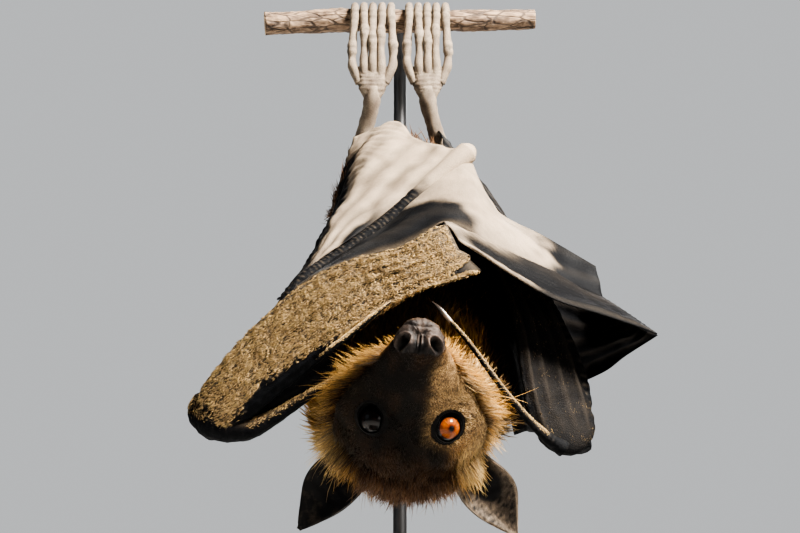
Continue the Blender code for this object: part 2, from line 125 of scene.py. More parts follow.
def catmull_rom(rows: Array, per_step: int) -> Array:
    """Fill rows of values in along Catmull-Rom curves.

    Between b and c, with a before and d after them, a value is half of
    2b + (c - a) t + (2a - 5b + 4c - d) t^2 + (3b - a - 3c + d) t^3.

    Args:
        rows: The values that the curves run through, in the first axis.
        per_step: How many rows are made for each step between two.

    Returns:
        The denser rows.
    """
    padded = np.concatenate([2 * rows[:1] - rows[1:2], rows, 2 * rows[-1:] - rows[-2:-1]])
    at = np.linspace(0.0, len(rows) - 1.0, per_step * (len(rows) - 1) + 1)
    k = np.minimum(at.astype(int), len(rows) - 2)
    t = (at - k).reshape(-1, *[1] * (rows.ndim - 1))
    a, b, c, d = (padded[k + j] for j in range(4))
    return 0.5 * (2 * b + (c - a) * t + (2 * a - 5 * b + 4 * c - d) * t**2 + (3 * b - a - 3 * c + d) * t**3)


def smooth_path(points: Sequence[Sequence[float]] | Array, count: int) -> Array:
    """Space points evenly along a Catmull-Rom curve.

    Args:
        points: Rows through which the curve runs; the first three columns are x, y and z,
            and any more are carried along.
        count: How many points to return.

    Returns:
        An array of count rows.
    """
    dense = catmull_rom(np.asarray(points, float), 32)
    along = arc_lengths(dense[:, :3])
    wanted = np.linspace(0.0, along[-1], count)
    return np.stack([np.interp(wanted, along, column) for column in dense.T], axis=1)


def spline_values(stations: Array, at: Array) -> Array:
    """Interpolate columns of stations smoothly.

    Args:
        stations: Rows whose first column is a rising position and whose other columns are values.
        at: Positions to read.

    Returns:
        One row of values for each position, from a cubic Hermite curve through the stations.
    """
    x, y = stations[:, 0], stations[:, 1:]
    slope = np.gradient(y, x, axis=0)
    at = np.clip(at, x[0], x[-1])
    k = np.clip(np.searchsorted(x, at, side="right") - 1, 0, len(x) - 2)
    h = (x[k + 1] - x[k])[:, None]
    t = ((at - x[k])[:, None]) / h
    return (
        (2 * t**3 - 3 * t**2 + 1) * y[k]
        + (t**3 - 2 * t**2 + t) * h * slope[k]
        + (-2 * t**3 + 3 * t**2) * y[k + 1]
        + (t**3 - t**2) * h * slope[k + 1]
    )


def grain(points: Array, size: float, seed: int, waves: int = 14) -> Array:
    """Return a smooth random field over points.

    Args:
        points: Positions, with x, y and z in the last axis.
        size: Distance over which the field changes, in the points' unit.
        seed: Chooses the field.
        waves: How many waves are added.

    Returns:
        The sum of sine waves in random directions, scaled to a spread of about one.
    """
    rng = np.random.default_rng(seed)
    direction = unit(rng.normal(size=(waves, 3)))
    rate = 2 * math.pi / size * rng.uniform(0.45, 1.35, waves)
    phase = rng.uniform(0, 2 * math.pi, waves)
    total = np.zeros(points.shape[:-1])
    for k in range(waves):
        total += np.sin(points @ direction[k] * rate[k] + phase[k])
    return total / math.sqrt(waves / 2)


# ---------------------------------------------------------------- meshes


@dataclass
class Patch:
    """A piece of surface: points in millimetres, quads, and values carried by the points.

    Quads whose last two corners are equal are triangles.
    """

    points: Array
    quads: Array
    slot: int | Array = 0
    values: dict[str, Array] = field(default_factory=dict)

    def with_values(self, **values: Array | float) -> Patch:
        """Add values to every point and return the patch."""
        for name, value in values.items():
            self.values[name] = np.broadcast_to(
                np.asarray(value, float), (len(self.points),)
            ).astype(np.float32)
        return self


def grid_quads(rows: int, cols: int, wrap: bool) -> Array:
    """Return the quads of a grid whose point index is row * cols + col.

    Args:
        rows: Number of rows.
        cols: Number of columns.
        wrap: Whether the last column joins the first.

    Returns:
        An array of four corner indices for each cell.
    """
    r = np.arange(rows - 1)[:, None]
    c = np.arange(cols if wrap else cols - 1)[None, :]
    n = (c + 1) % cols
    return np.stack(
        [r * cols + c, r * cols + n, (r + 1) * cols + n, (r + 1) * cols + c], axis=-1
    ).reshape(-1, 4)


def grid_normals(grid: Array, wrap: bool) -> Array:
    """Return unit normals of a grid: the cross product of the steps along its columns and its rows.

    Args:
        grid: Points, shape (rows, cols, 3).
        wrap: Whether the last column joins the first.

    Returns:
        A normal for each point.
    """
    down = np.gradient(grid, axis=0)
    if wrap:
        across = (np.roll(grid, -1, axis=1) - np.roll(grid, 1, axis=1)) / 2
    else:
        across = np.gradient(grid, axis=1)
    return unit(np.cross(across, down))


def outward_sign(grid: Array, wrap: bool) -> float:
    """Return 1 or -1, which makes a grid's normals point away from its own axis."""
    away = grid - grid.mean(axis=1, keepdims=True)
    return 1.0 if (grid_normals(grid, wrap) * away).sum() >= 0 else -1.0


def closed_tube(grid: Array, slot: int = 0, **values: Array | float) -> Patch:
    """Close a tube's two ends with a fan each and turn its faces outwards.

    Args:
        grid: Rows of rings, shape (rows, around, 3).
        slot: Material index of its faces.
        **values: Values of the grid's points, as (rows, around) arrays or numbers.

    Returns:
        The closed patch.
    """
    rows, around, _ = grid.shape
    quads = grid_quads(rows, around, True)
    first, last = rows * around, rows * around + 1
    ring = np.arange(around)
    following = (ring + 1) % around
    low = np.stack([np.full(around, first), following, ring, ring], axis=-1)
    base = (rows - 1) * around
    high = np.stack([np.full(around, last), base + ring, base + following, base + following], axis=-1)
    quads = np.vstack([quads, low, high])
    if outward_sign(grid, True) < 0:
        quads = quads[:, ::-1]
        flat = quads[:, 0] == quads[:, 1]
        quads[flat] = quads[flat][:, [1, 2, 3, 3]]
    points = np.vstack([grid.reshape(-1, 3), grid[0].mean(axis=0), grid[-1].mean(axis=0)])
    patch = Patch(points, quads, slot)
    for name, value in values.items():
        flat = np.broadcast_to(np.asarray(value, float), (rows, around))
        ends = [flat[0].mean(), flat[-1].mean()]
        patch.values[name] = np.append(flat, ends).astype(np.float32)
    return patch


def closed_sheet(grid: Array, thickness: Array | float, slot: int = 0, **values: Array | float) -> Patch:
    """Give an open grid two faces and a rim, half the thickness to each side.

    Args:
        grid: Rows and columns of points, shape (rows, cols, 3).
        thickness: Millimetres, for the whole sheet or for each point.
        slot: Material index of its faces.
        **values: Values of the grid's points, carried to both faces.

    Returns:
        The closed patch.
    """
    rows, cols, _ = grid.shape
    half = np.broadcast_to(np.asarray(thickness, float) / 2, (rows, cols))[..., None]
    normals = grid_normals(grid, False)
    count = rows * cols
    top = grid_quads(rows, cols, False)
    bottom = top[:, ::-1] + count
    edge = np.concatenate([
        np.arange(cols),
        np.arange(1, rows) * cols + cols - 1,
        (rows - 1) * cols + np.arange(cols - 2, -1, -1),
        np.arange(rows - 2, 0, -1) * cols,
    ])
    ahead = np.roll(edge, -1)
    rim = np.stack([ahead, edge, edge + count, ahead + count], axis=-1)
    points = np.vstack([(grid - normals * half).reshape(-1, 3), (grid + normals * half).reshape(-1, 3)])
    quads = np.vstack([top[:, ::-1], bottom[:, ::-1], rim[:, ::-1]])
    patch = Patch(points, quads, slot)
    for name, value in values.items():
        flat = np.broadcast_to(np.asarray(value, float), (rows, cols))
        patch.values[name] = np.tile(flat.reshape(-1), 2).astype(np.float32)
    return patch


def build_mesh(name: str, patches: Sequence[Patch], uv: Array | None = None) -> bpy.types.Mesh:
    """Make one mesh from patches.

    Args:
        name: The mesh's name.
        patches: Patches to join, each keeping its own points.
        uv: Optional coordinates of every point, written to a map named OFBake.

    Returns:
        A mesh in metres, smooth shaded.
    """
    offsets = np.cumsum([0] + [len(p.points) for p in patches])
    points = np.vstack([p.points for p in patches]) * MM
    quads = np.vstack([p.quads + o for p, o in zip(patches, offsets)])
    slots = np.concatenate([np.full(len(p.quads), p.slot) for p in patches])
    triangle = quads[:, 2] == quads[:, 3]
    totals = np.where(triangle, 3, 4).astype(np.int32)
    starts = np.concatenate([[0], np.cumsum(totals)[:-1]]).astype(np.int32)
    keep = np.ones(quads.shape, bool)
    keep[triangle, 3] = False
    corners = quads[keep].astype(np.int32)
    mesh = bpy.data.meshes.new(name)
    mesh.vertices.add(len(points))
    mesh.vertices.foreach_set("co", points.astype(np.float32).ravel())
    mesh.loops.add(len(corners))
    mesh.loops.foreach_set("vertex_index", corners)
    mesh.polygons.add(len(quads))
    mesh.polygons.foreach_set("loop_start", starts)
    mesh.polygons.foreach_set("loop_total", totals)
    mesh.polygons.foreach_set("material_index", slots.astype(np.int32))
    mesh.polygons.foreach_set("use_smooth", np.ones(len(quads), bool))
    names = sorted({key for p in patches for key in p.values})
    for key in names:
        layer = mesh.attributes.new(key, "FLOAT", "POINT")
        data = np.concatenate([p.values.get(key, np.zeros(len(p.points), np.float32)) for p in patches])
        layer.data.foreach_set("value", data.astype(np.float32))
    if uv is not None:
        layer = mesh.uv_layers.new(name="OFBake")
        layer.data.foreach_set("uv", uv[corners].astype(np.float32).ravel())
    mesh.update(calc_edges=True)
    mesh.validate()
    return mesh


def add_piece(
    name: str, patches: Sequence[Patch], materials: Sequence[bpy.types.Material],
    replaces: Sequence[str] = (), uv: Array | None = None,
) -> None:
    """Put a piece of the model in the scene.

    Args:
        name: The piece's name, and its mesh's.
        patches: Its surface, already in place.
        materials: Its materials in slot order.
        replaces: CAD nodes that it stands for.
        uv: Coordinates of its points on the map named OFBake, if it has one.
    """
    mesh = build_mesh(name, patches, uv)
    piece = bpy.data.objects.new(name, mesh)
    bpy.context.scene.collection.objects.link(piece)
    for made in materials:
        mesh.materials.append(made)
    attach(piece, "root")
    if replaces:
        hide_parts(*replaces)
    LOG.info("%s: %d faces", name, len(mesh.polygons))


# ---------------------------------------------------------------- finishes

Colour = Triple
Socket = bpy.types.NodeSocket
Node = bpy.types.Node
NUMBER, COLOUR, VECTOR = "NodeSocketFloat", "NodeSocketColor", "NodeSocketVector"
BLACK = (0.001, 0.001, 0.001)
SURROUND = (0.86, 0.88, 0.90)


def darker(colour: Colour, share: float) -> Colour:
    """Return a colour darkened to a share of itself."""
    return tuple(share * c for c in colour)


class NodeBook:
    """Adds and joins nodes in one node tree."""

    def __init__(self, tree: bpy.types.NodeTree, effects: SharedEffects | None = None) -> None:
        """Keep the tree that nodes go into, and the shared node groups that they may use."""
        self.tree = tree
        self.effects = effects

    def add(self, kind: str, given: dict[str | int, object] | None = None, **settings: object) -> Node:
        """Add a node.

        Args:
            kind: The node's type.
            given: Sockets or values for its inputs, by name or number.
            **settings: Its properties.

        Returns:
            The new node.
        """
        node = self.tree.nodes.new(kind)
        for name, value in settings.items():
            setattr(node, name, value)
        for key, value in (given or {}).items():
            self.feed(node.inputs[key], value)
        return node

    def feed(self, socket: Socket, value: Socket | float | Sequence[float]) -> None:
        """Link a socket into another, or set its own value.

        Args:
            socket: The input to feed.
            value: An output, a number, a vector or a colour.
        """
        if isinstance(value, bpy.types.NodeSocket):
            self.tree.links.new(value, socket)
        elif isinstance(value, (int, float)):
            socket.default_value = value
        else:
            socket.default_value = (*value, 1.0) if len(value) == 3 and socket.type == "RGBA" else value

    def mix(
        self, amount: Socket | float, low: Socket | Colour, high: Socket | Colour, blend: str = "MIX"
    ) -> Socket:
        """Return a blend of two colours, low where the amount is 0."""
        given = {0: amount, 6: low, 7: high}
        return self.add("ShaderNodeMix", given, data_type="RGBA", blend_type=blend).outputs[2]

    def times(self, first: Socket, second: Socket | float) -> Socket:
        """Return a product."""
        return self.add("ShaderNodeMath", {0: first, 1: second}, operation="MULTIPLY").outputs[0]

    def plus(self, first: Socket, second: Socket) -> Socket:
        """Return a sum."""
        return self.add("ShaderNodeMath", {0: first, 1: second}, operation="ADD").outputs[0]

    def scaled(self, vector: Socket, by: Socket) -> Socket:
        """Return a vector or colour times a number."""
        return self.add("ShaderNodeVectorMath", {0: vector, "Scale": by}, operation="SCALE").outputs[0]

    def span(
        self, value: Socket, low: float, high: float, to_low: float = 0.0, to_high: float = 1.0
    ) -> Socket:
        """Return a value mapped smoothly from one range to another and clamped."""
        given = dict(enumerate((value, low, high, to_low, to_high)))
        return self.add("ShaderNodeMapRange", given, interpolation_type="SMOOTHSTEP").outputs[0]

    def carried(self, name: str) -> Socket:
        """Return a value carried by the mesh's points."""
        return self.add("ShaderNodeAttribute", attribute_name=name).outputs["Fac"]

    def place(self) -> Socket:
        """Return the object's own coordinates."""
        return self.add("ShaderNodeTexCoord").outputs["Object"]

    def noise(self, vector: Socket, scale: float, detail: float = 3.0, roughness: float = 0.55) -> Socket:
        """Return a noise texture's value."""
        given = {"Vector": vector, "Scale": scale, "Detail": detail, "Roughness": roughness}
        return self.add("ShaderNodeTexNoise", given).outputs["Fac"]

    def cells(self, vector: Socket, scale: float) -> Socket:
        """Return the distance to the nearest edge of a Voronoi texture's cells."""
        given = {"Vector": vector, "Scale": scale}
        return self.add("ShaderNodeTexVoronoi", given, feature="DISTANCE_TO_EDGE").outputs["Distance"]

    def relief(self, vector: Socket, size: float) -> Node:
        """Return the shared relief of bare skin."""
        return self.add("ShaderNodeGroup", {"Vector": vector, "Size": size}, node_tree=self.effects.hide)

    def bump(self, height: Socket, strength: float, distance: float) -> Socket:
        """Return a normal bent by a height."""
        given = {"Strength": strength, "Distance": distance, "Height": height}
        return self.add("ShaderNodeBump", given).outputs["Normal"]


def new_group(name: str, inputs: dict[str, str], outputs: dict[str, str]) -> tuple[NodeBook, Node, Node]:
    """Start a shader node group.

    Args:
        name: The group's name.
        inputs: The type of each input socket, by name.
        outputs: The type of each output socket, by name.

    Returns:
        A book for its nodes, its input node and its output node.
    """
    tree = bpy.data.node_groups.new(name, "ShaderNodeTree")
    for side, sockets in (("INPUT", inputs), ("OUTPUT", outputs)):
        for label, kind in sockets.items():
            tree.interface.new_socket(label, in_out=side, socket_type=kind)
    book = NodeBook(tree)
    return book, book.add("NodeGroupInput"), book.add("NodeGroupOutput")


class SharedEffects:
    """The node groups that more than one finish uses."""

    def __init__(self) -> None:
        """Build every group once."""
        self.coat = self._coat_colour()
        self.hide = self._hide_relief()

    def _coat_colour(self) -> bpy.types.NodeTree:
        """Lay the coat's colours over black-brown, each by its own mask and from its root to its tip.

        Returns:
            A group with the masks in and the colour out.
        """
        layers = {
            "Brown": ((0.012, 0.006, 0.004), (0.100, 0.053, 0.030)),
            "Tan": ((0.060, 0.032, 0.016), (0.470, 0.340, 0.200)),
            "Gold": ((0.085, 0.021, 0.003), (0.420, 0.222, 0.036)),
            "Buff": ((0.300, 0.200, 0.120), (0.620, 0.475, 0.245)),
        }
        masks = dict.fromkeys([*layers, "Tip", "Vary"], NUMBER)
        book, given, made = new_group("bat_markings", masks, {"Colour": COLOUR})
        tip = given.outputs["Tip"]
        colour = book.mix(tip, (0.0030, 0.0024, 0.0022), (0.0080, 0.0066, 0.0062))
        for name, (root, end) in layers.items():
            colour = book.mix(given.outputs[name], colour, book.mix(tip, root, end))
        shaded = book.mix(1.0, colour, (0.52, 0.50, 0.48), "MULTIPLY")
        lighter = book.mix(1.0, colour, (1.62, 1.50, 1.14), "MULTIPLY")
        book.feed(made.inputs["Colour"], book.mix(given.outputs["Vary"], shaded, lighter))
        return book.tree

    def _hide_relief(self) -> bpy.types.NodeTree:
        """Make the small relief of bare skin: creased cells with fine grain between them.

        Returns:
            A group with a place and a size in, and a height and its creases out.
        """
        given_kinds, made_kinds = {"Vector": VECTOR, "Size": NUMBER}, {"Height": NUMBER, "Crease": NUMBER}
        book, given, made = new_group("hide_relief", given_kinds, made_kinds)
        place = book.scaled(given.outputs["Vector"], given.outputs["Size"])
        drift = book.add("ShaderNodeTexNoise", {"Vector": place, "Scale": 0.6}).outputs["Color"]
        warped = book.add("ShaderNodeVectorMath", {0: place, 1: drift}, operation="ADD").outputs[0]
        crease = book.span(book.cells(warped, 1.0), 0.0, 0.22)
        fine = book.noise(place, 3.2, 4.0)
        book.feed(made.inputs["Height"], book.plus(book.times(crease, 0.7), book.times(fine, 0.6)))
        book.feed(made.inputs["Crease"], crease)
        return book.tree


@dataclass(frozen=True)
class Surface:
    """A finish's plain settings on its Principled BSDF; finishes with more to them add it in paint."""

    name: str
    colour: Colour = (0.1, 0.1, 0.1)
    roughness: float = 0.6
    metallic: float = 0.0
    sheen: float = 0.0
    sheen_tint: Colour = (1.0, 1.0, 1.0)
    coat: float = 0.0
    coat_roughness: float = 0.05
    specular: float = 0.5

    def make(self, effects: SharedEffects | None = None) -> bpy.types.Material:
        """Make the material.

        Args:
            effects: The shared node groups, for the finishes that use them.

        Returns:
            The material with its settings and nodes.
        """
        made = bpy.data.materials.new(self.name)
        made.use_nodes = True
        made.diffuse_color = (*self.colour, 1.0)
        shader = made.node_tree.nodes["Principled BSDF"]
        book = NodeBook(made.node_tree, effects)
        settings = {
            "Base Color": self.colour, "Roughness": self.roughness, "Metallic": self.metallic,
            "Sheen Weight": self.sheen, "Sheen Roughness": 0.45, "Sheen Tint": self.sheen_tint,
            "Coat Weight": self.coat, "Coat Roughness": self.coat_roughness,
            "Specular IOR Level": self.specular,
        }
        for name, value in settings.items():
            book.feed(shader.inputs[name], value)
        for name, value in self.paint(book).items():
            book.feed(shader.inputs[name], value)
        return made

    def paint(self, book: NodeBook) -> dict[str, Socket | Colour]:
        """Return what feeds the shader's inputs besides the plain settings: nothing here."""
        return {}


@dataclass(frozen=True)
class CoatFinish(Surface):
    """Fur, or the skin under it, coloured by the markings that its points carry."""

    under: bool = False

    def paint(self, book: NodeBook) -> dict[str, Socket]:
        """Colour it by the shared markings.

        Args:
            book: Adds nodes to the material.

        Returns:
            The shader's fed inputs.
        """
        fed = {}
        masks = {name: book.carried(name.lower()) for name in ("Gold", "Buff", "Tan", "Brown")}
        if self.under:
            streak = book.noise(book.place(), 1500.0)
            masks |= {"Tip": book.times(streak, 0.45), "Vary": book.span(streak, 0.3, 0.7)}
            fed["Normal"] = book.bump(book.noise(book.place(), 2300.0, 4.0, 0.7), 0.7, 0.0005)
        else:
            masks |= {"Tip": book.carried("tip"), "Vary": book.carried("vary")}
        fed["Base Color"] = book.add("ShaderNodeGroup", masks, node_tree=book.effects.coat).outputs["Colour"]
        return fed


@dataclass(frozen=True)
class WingFinish(Surface):
    """Dry flight skin: near black in its folds and shadows, which is painted shade, warm grey on the flats,
    tan where it carries short down, and cream where sunlight is painted on it.
    """

    dark: Colour = (0.0026, 0.0028, 0.0034)
    flat: Colour = (0.021, 0.0215, 0.0225)
    earth: Colour = (0.030, 0.023, 0.016)
    down: Colour = (0.140, 0.106, 0.070)
    lit_cream: tuple[Colour, Colour] = ((0.225, 0.170, 0.120), (0.400, 0.320, 0.230))
    speckle: Colour = (0.15, 0.115, 0.085)
    size: float = 1100.0

    def paint(self, book: NodeBook) -> dict[str, Socket]:
        """Mix its colours by the fold, fuzz and ridge values of its points: the fold value carries painted
        shade as well as the skin's own darkness, and the ridge value carries painted sunlight and highlight.

        Args:
            book: Adds nodes to the material.

        Returns:
            The shader's fed inputs.
        """
        place = book.place()
        hide = book.relief(place, self.size)
        broad = book.noise(place, 55.0, 4.0)
        fold, fuzz, ridge = (book.carried(name) for name in ("fold", "fuzz", "ridge"))
        tone = book.times(book.span(broad, 0.25, 0.75, 0.35, 1.0), book.span(fold, 0.0, 1.0, 1.0, 0.12))
        colour = book.mix(tone, self.dark, self.flat)
        colour = book.mix(book.span(hide.outputs["Crease"], 0.0, 1.0, 0.45, 0.0), colour, self.dark)
        speck = book.span(book.noise(place, 2600.0, 2.0, 0.6), 0.42, 0.56)
        colour = book.mix(fuzz, colour, self.earth)
        colour = book.mix(book.times(fuzz, book.times(speck, 0.62)), colour, self.down)
        lit_cream = book.mix(book.times(speck, 0.35), book.mix(broad, *self.lit_cream), self.speckle)
        height = book.plus(hide.outputs["Height"], book.times(speck, fuzz))
        return {
            # The ridge value mixes in painted sunlight: cream where the wing is lit.
            "Base Color": book.mix(ridge, colour, lit_cream),
            "Roughness": book.span(broad, 0.2, 0.8, self.roughness - 0.08, self.roughness + 0.1),
            "Normal": book.bump(height, 0.45, 0.00035),
        }


@dataclass(frozen=True)
class HideFinish(Surface):
    """Bare creased skin of nose, lips, lids, ears and feet, lighter and darker where its points say; on
    nose, ears and toes their light and fold values hold painted highlights and painted shade.
    """

    light: Colour = (0.2, 0.15, 0.1)
    size: float = 1400.0
    strength: float = 0.4

    def paint(self, book: NodeBook) -> dict[str, Socket]:
        """Shade it by the light and fold values of its points.

        Args:
            book: Adds nodes to the material.

        Returns:
            The shader's fed inputs.
        """
        place = book.place()
        hide = book.relief(place, self.size)
        cloud = book.span(book.noise(place, 160.0, 4.0), 0.3, 0.75, -0.12, 0.16)
        colour = book.mix(book.plus(book.carried("light"), cloud), self.colour, self.light)
        creased = book.span(hide.outputs["Crease"], 0.0, 1.0, 0.5, 0.0)
        colour = book.mix(creased, colour, darker(self.colour, 0.45))
        return {
            "Base Color": book.mix(book.carried("fold"), colour, darker(self.colour, 0.25)),
            "Normal": book.bump(hide.outputs["Height"], self.strength, 0.0003),
        }


@dataclass(frozen=True)
class EyeFinish(Surface):
    """A wet eye: black pupil, streaked orange iris with a dark edge, and a brown-black white."""

    rings: tuple[tuple[float, Colour], ...] = (
        (0.0, BLACK), (0.165, BLACK), (0.190, (0.05, 0.008, 0.002)), (0.25, (0.08, 0.014, 0.002)),
        (0.31, (0.14, 0.029, 0.004)), (0.54, (0.20, 0.050, 0.006)), (0.78, (0.15, 0.031, 0.004)),
        (0.83, (0.03, 0.006, 0.002)), (0.87, (0.002, 0.002, 0.002)),
    )

    def paint(self, book: NodeBook) -> dict[str, Socket]:
        """Ramp the rings from the pupil outwards, times the streaks of the iris.

        Args:
            book: Adds nodes to the material.

        Returns:
            The shader's fed inputs.
        """
        ramp = book.add("ShaderNodeValToRGB", {0: book.carried("iris")})
        elements = ramp.color_ramp.elements
        while len(elements) < len(self.rings):
            elements.new(0.5)
        for element, (at, tint) in zip(elements, self.rings):
            element.position = at
            element.color = (*tint, 1.0)
        # The carried shade value darkens the whole eye: painted shade on the left eye.
        streak = book.times(book.span(book.carried("spoke"), -1.6, 1.6, 0.72, 1.2), book.carried("shade"))
        return {"Base Color": book.scaled(ramp.outputs[0], streak)}


@dataclass(frozen=True)
class HornFinish(Surface):
    """Claw horn, darker and smoother towards its point."""

    root: tuple[Colour, Colour] = ((0.10, 0.075, 0.055), (0.19, 0.145, 0.11))

    def paint(self, book: NodeBook) -> dict[str, Socket]:
        """Run its colour from root to point.

        Args:
            book: Adds nodes to the material.

        Returns:
            The shader's fed inputs.
        """
        streak = book.noise(book.place(), 900.0, 4.0)
        towards = book.span(book.carried("tip"), 0.0, 0.7)
        colour = book.mix(towards, book.mix(streak, *self.root), self.colour)
        return {"Base Color": colour, "Normal": book.bump(streak, 0.25, 0.0001)}


@dataclass(frozen=True)
class BarkFinish(Surface):
    """Dry bark: long plates split by dark cracks, with paler wood at the cut ends."""

    plate: tuple[Colour, Colour] = ((0.075, 0.045, 0.026), (0.30, 0.20, 0.125))
    crack: Colour = (0.02, 0.012, 0.008)
    wood: tuple[Colour, Colour] = ((0.36, 0.24, 0.14), (0.55, 0.40, 0.25))

    def paint(self, book: NodeBook) -> dict[str, Socket]:
        """Stretch plates and cracks along the branch.

        Args:
            book: Adds nodes to the material.

        Returns:
            The shader's fed inputs.
        """
        given = {"Scale": (0.28, 1.0, 1.0), "Vector": book.place()}
        place = book.add("ShaderNodeMapping", given).outputs[0]
        plates = book.noise(place, 420.0, 6.0, 0.65)
        cracks = book.span(book.cells(place, 330.0), 0.0, 0.12)
        colour = book.mix(book.span(plates, 0.35, 0.65), *self.plate)
        colour = book.mix(book.span(cracks, 0.0, 1.0, 0.75, 0.0), colour, self.crack)
        wood = book.mix(book.noise(book.place(), 900.0), *self.wood)
        height = book.plus(plates, book.times(cracks, 0.8))
        return {
            "Base Color": book.mix(book.carried("cut"), colour, wood),
            "Normal": book.bump(height, 0.6, 0.0006),
        }


@dataclass(frozen=True)
class PaintFinish(Surface):
    """Satin stand paint with faint wear and dust."""

    worn: Colour = (0.09, 0.09, 0.09)

    def paint(self, book: NodeBook) -> dict[str, Socket]:
        """Cloud its colour and roughness.

        Args:
            book: Adds nodes to the material.

        Returns:
            The shader's fed inputs.
        """
        place, rough = book.place(), self.roughness
        wear = book.span(book.noise(place, 28.0, 5.0), 0.45, 0.8, 0.0, 0.5)
        return {
            "Base Color": book.mix(wear, self.colour, self.worn),
            "Roughness": book.span(book.noise(place, 90.0, 4.0), 0.3, 0.7, rough - 0.07, rough + 0.1),
            "Normal": book.bump(book.noise(place, 1800.0, 2.0), 0.06, 0.0002),
        }


@dataclass(frozen=True)
class FloorFinish(Surface):
    """Matt paper with a faint glow that only the camera sees."""

    glow: float = 0.34

    def paint(self, book: NodeBook) -> dict[str, Socket | Colour]:
        """Return the glow and its strength."""
        seen = book.add("ShaderNodeLightPath").outputs["Is Camera Ray"]
        return {"Emission Color": SURROUND, "Emission Strength": book.times(seen, self.glow)}


class Wardrobe:
    """Every finish of the bat and its stand."""

    def __init__(self) -> None:
        """Make each material once."""
        finishes = (
            CoatFinish("face_skin", roughness=0.66, specular=0.08, under=True),
            CoatFinish("fur", roughness=0.50, sheen=0.03, sheen_tint=(1.0, 0.86, 0.68), specular=0.10),
            WingFinish("wing_skin", roughness=0.56, specular=0.03),
            HideFinish(
                "nose_skin", colour=(0.014, 0.011, 0.010), light=(0.125, 0.088, 0.068), roughness=0.46,
                size=2600.0, strength=0.35, coat=0.02, coat_roughness=0.3, specular=0.12,
            ),
            HideFinish(
                "ear_skin", colour=(0.0030, 0.0026, 0.0026), light=(0.200, 0.150, 0.105), roughness=0.5,
                size=1700.0, strength=0.3, specular=0.12,
            ),
            HideFinish(
                "lid_skin", colour=(0.0050, 0.0046, 0.0044), light=(0.005, 0.0046, 0.0044), roughness=0.42,
                size=2200.0, strength=0.3, specular=0.05,
            ),
            HideFinish(
                "foot_skin", colour=(0.140, 0.105, 0.077), light=(0.300, 0.240, 0.175), roughness=0.6,
                size=1500.0, strength=0.55, specular=0.15,
            ),
            HornFinish("claw_horn", colour=(0.022, 0.017, 0.014), roughness=0.24),
            EyeFinish("eye", roughness=0.45, coat=0.35, coat_roughness=0.015, specular=0.03),
            BarkFinish("bark", roughness=0.85),
            PaintFinish(
                "stand_base_paint", colour=(0.030, 0.029, 0.028), worn=(0.060, 0.058, 0.055), roughness=0.42
            ),
            PaintFinish(
                "stand_rod_paint", colour=(0.035, 0.035, 0.037), worn=(0.075, 0.073, 0.070), roughness=0.36,
                metallic=0.6,
            ),
        )
        effects = SharedEffects()
        self.made = {finish.name: finish.make(effects) for finish in finishes}

    def named(self, *names: str) -> list[bpy.types.Material]:
        """Return materials by name."""
        return [self.made[name] for name in names]


# ---------------------------------------------------------------- the head

# The head's own axes, and the middle of its back end, 74 mm behind the nose.
FORWARD = unit(np.array((0.057, -0.986, 0.153)))
CROWN = np.array((-0.095, -0.158, -0.983))
CROWN = unit(CROWN - FORWARD * CROWN.dot(FORWARD))
ACROSS = np.cross(FORWARD, CROWN)
SKULL = np.array((7.6, -85.0, 276.0)) - 74.0 * FORWARD


def on_head(forward: Array | float, crownwards: Array | float, across: Array | float = 0.0) -> Array:
    """Return places given along the head's own three axes."""
    f, h, a = np.broadcast_arrays(*(np.asarray(v, float) for v in (forward, crownwards, across)))
    return SKULL + f[..., None] * FORWARD + h[..., None] * CROWN + a[..., None] * ACROSS


def head_axes(points: Array) -> tuple[Array, Array, Array]:
    """Return how far points lie forward, crownwards and across on the head."""
    rel = points - SKULL
    return rel @ FORWARD, rel @ CROWN, rel @ ACROSS


def middle_height(forward: Array) -> Array:
    """Return how far crownwards the head's middle line lies."""
    return np.interp(forward, (17.0, 33.0, 46.0, 58.0, 67.0), (14.4, 10.8, 5.7, 2.4, 0.8))


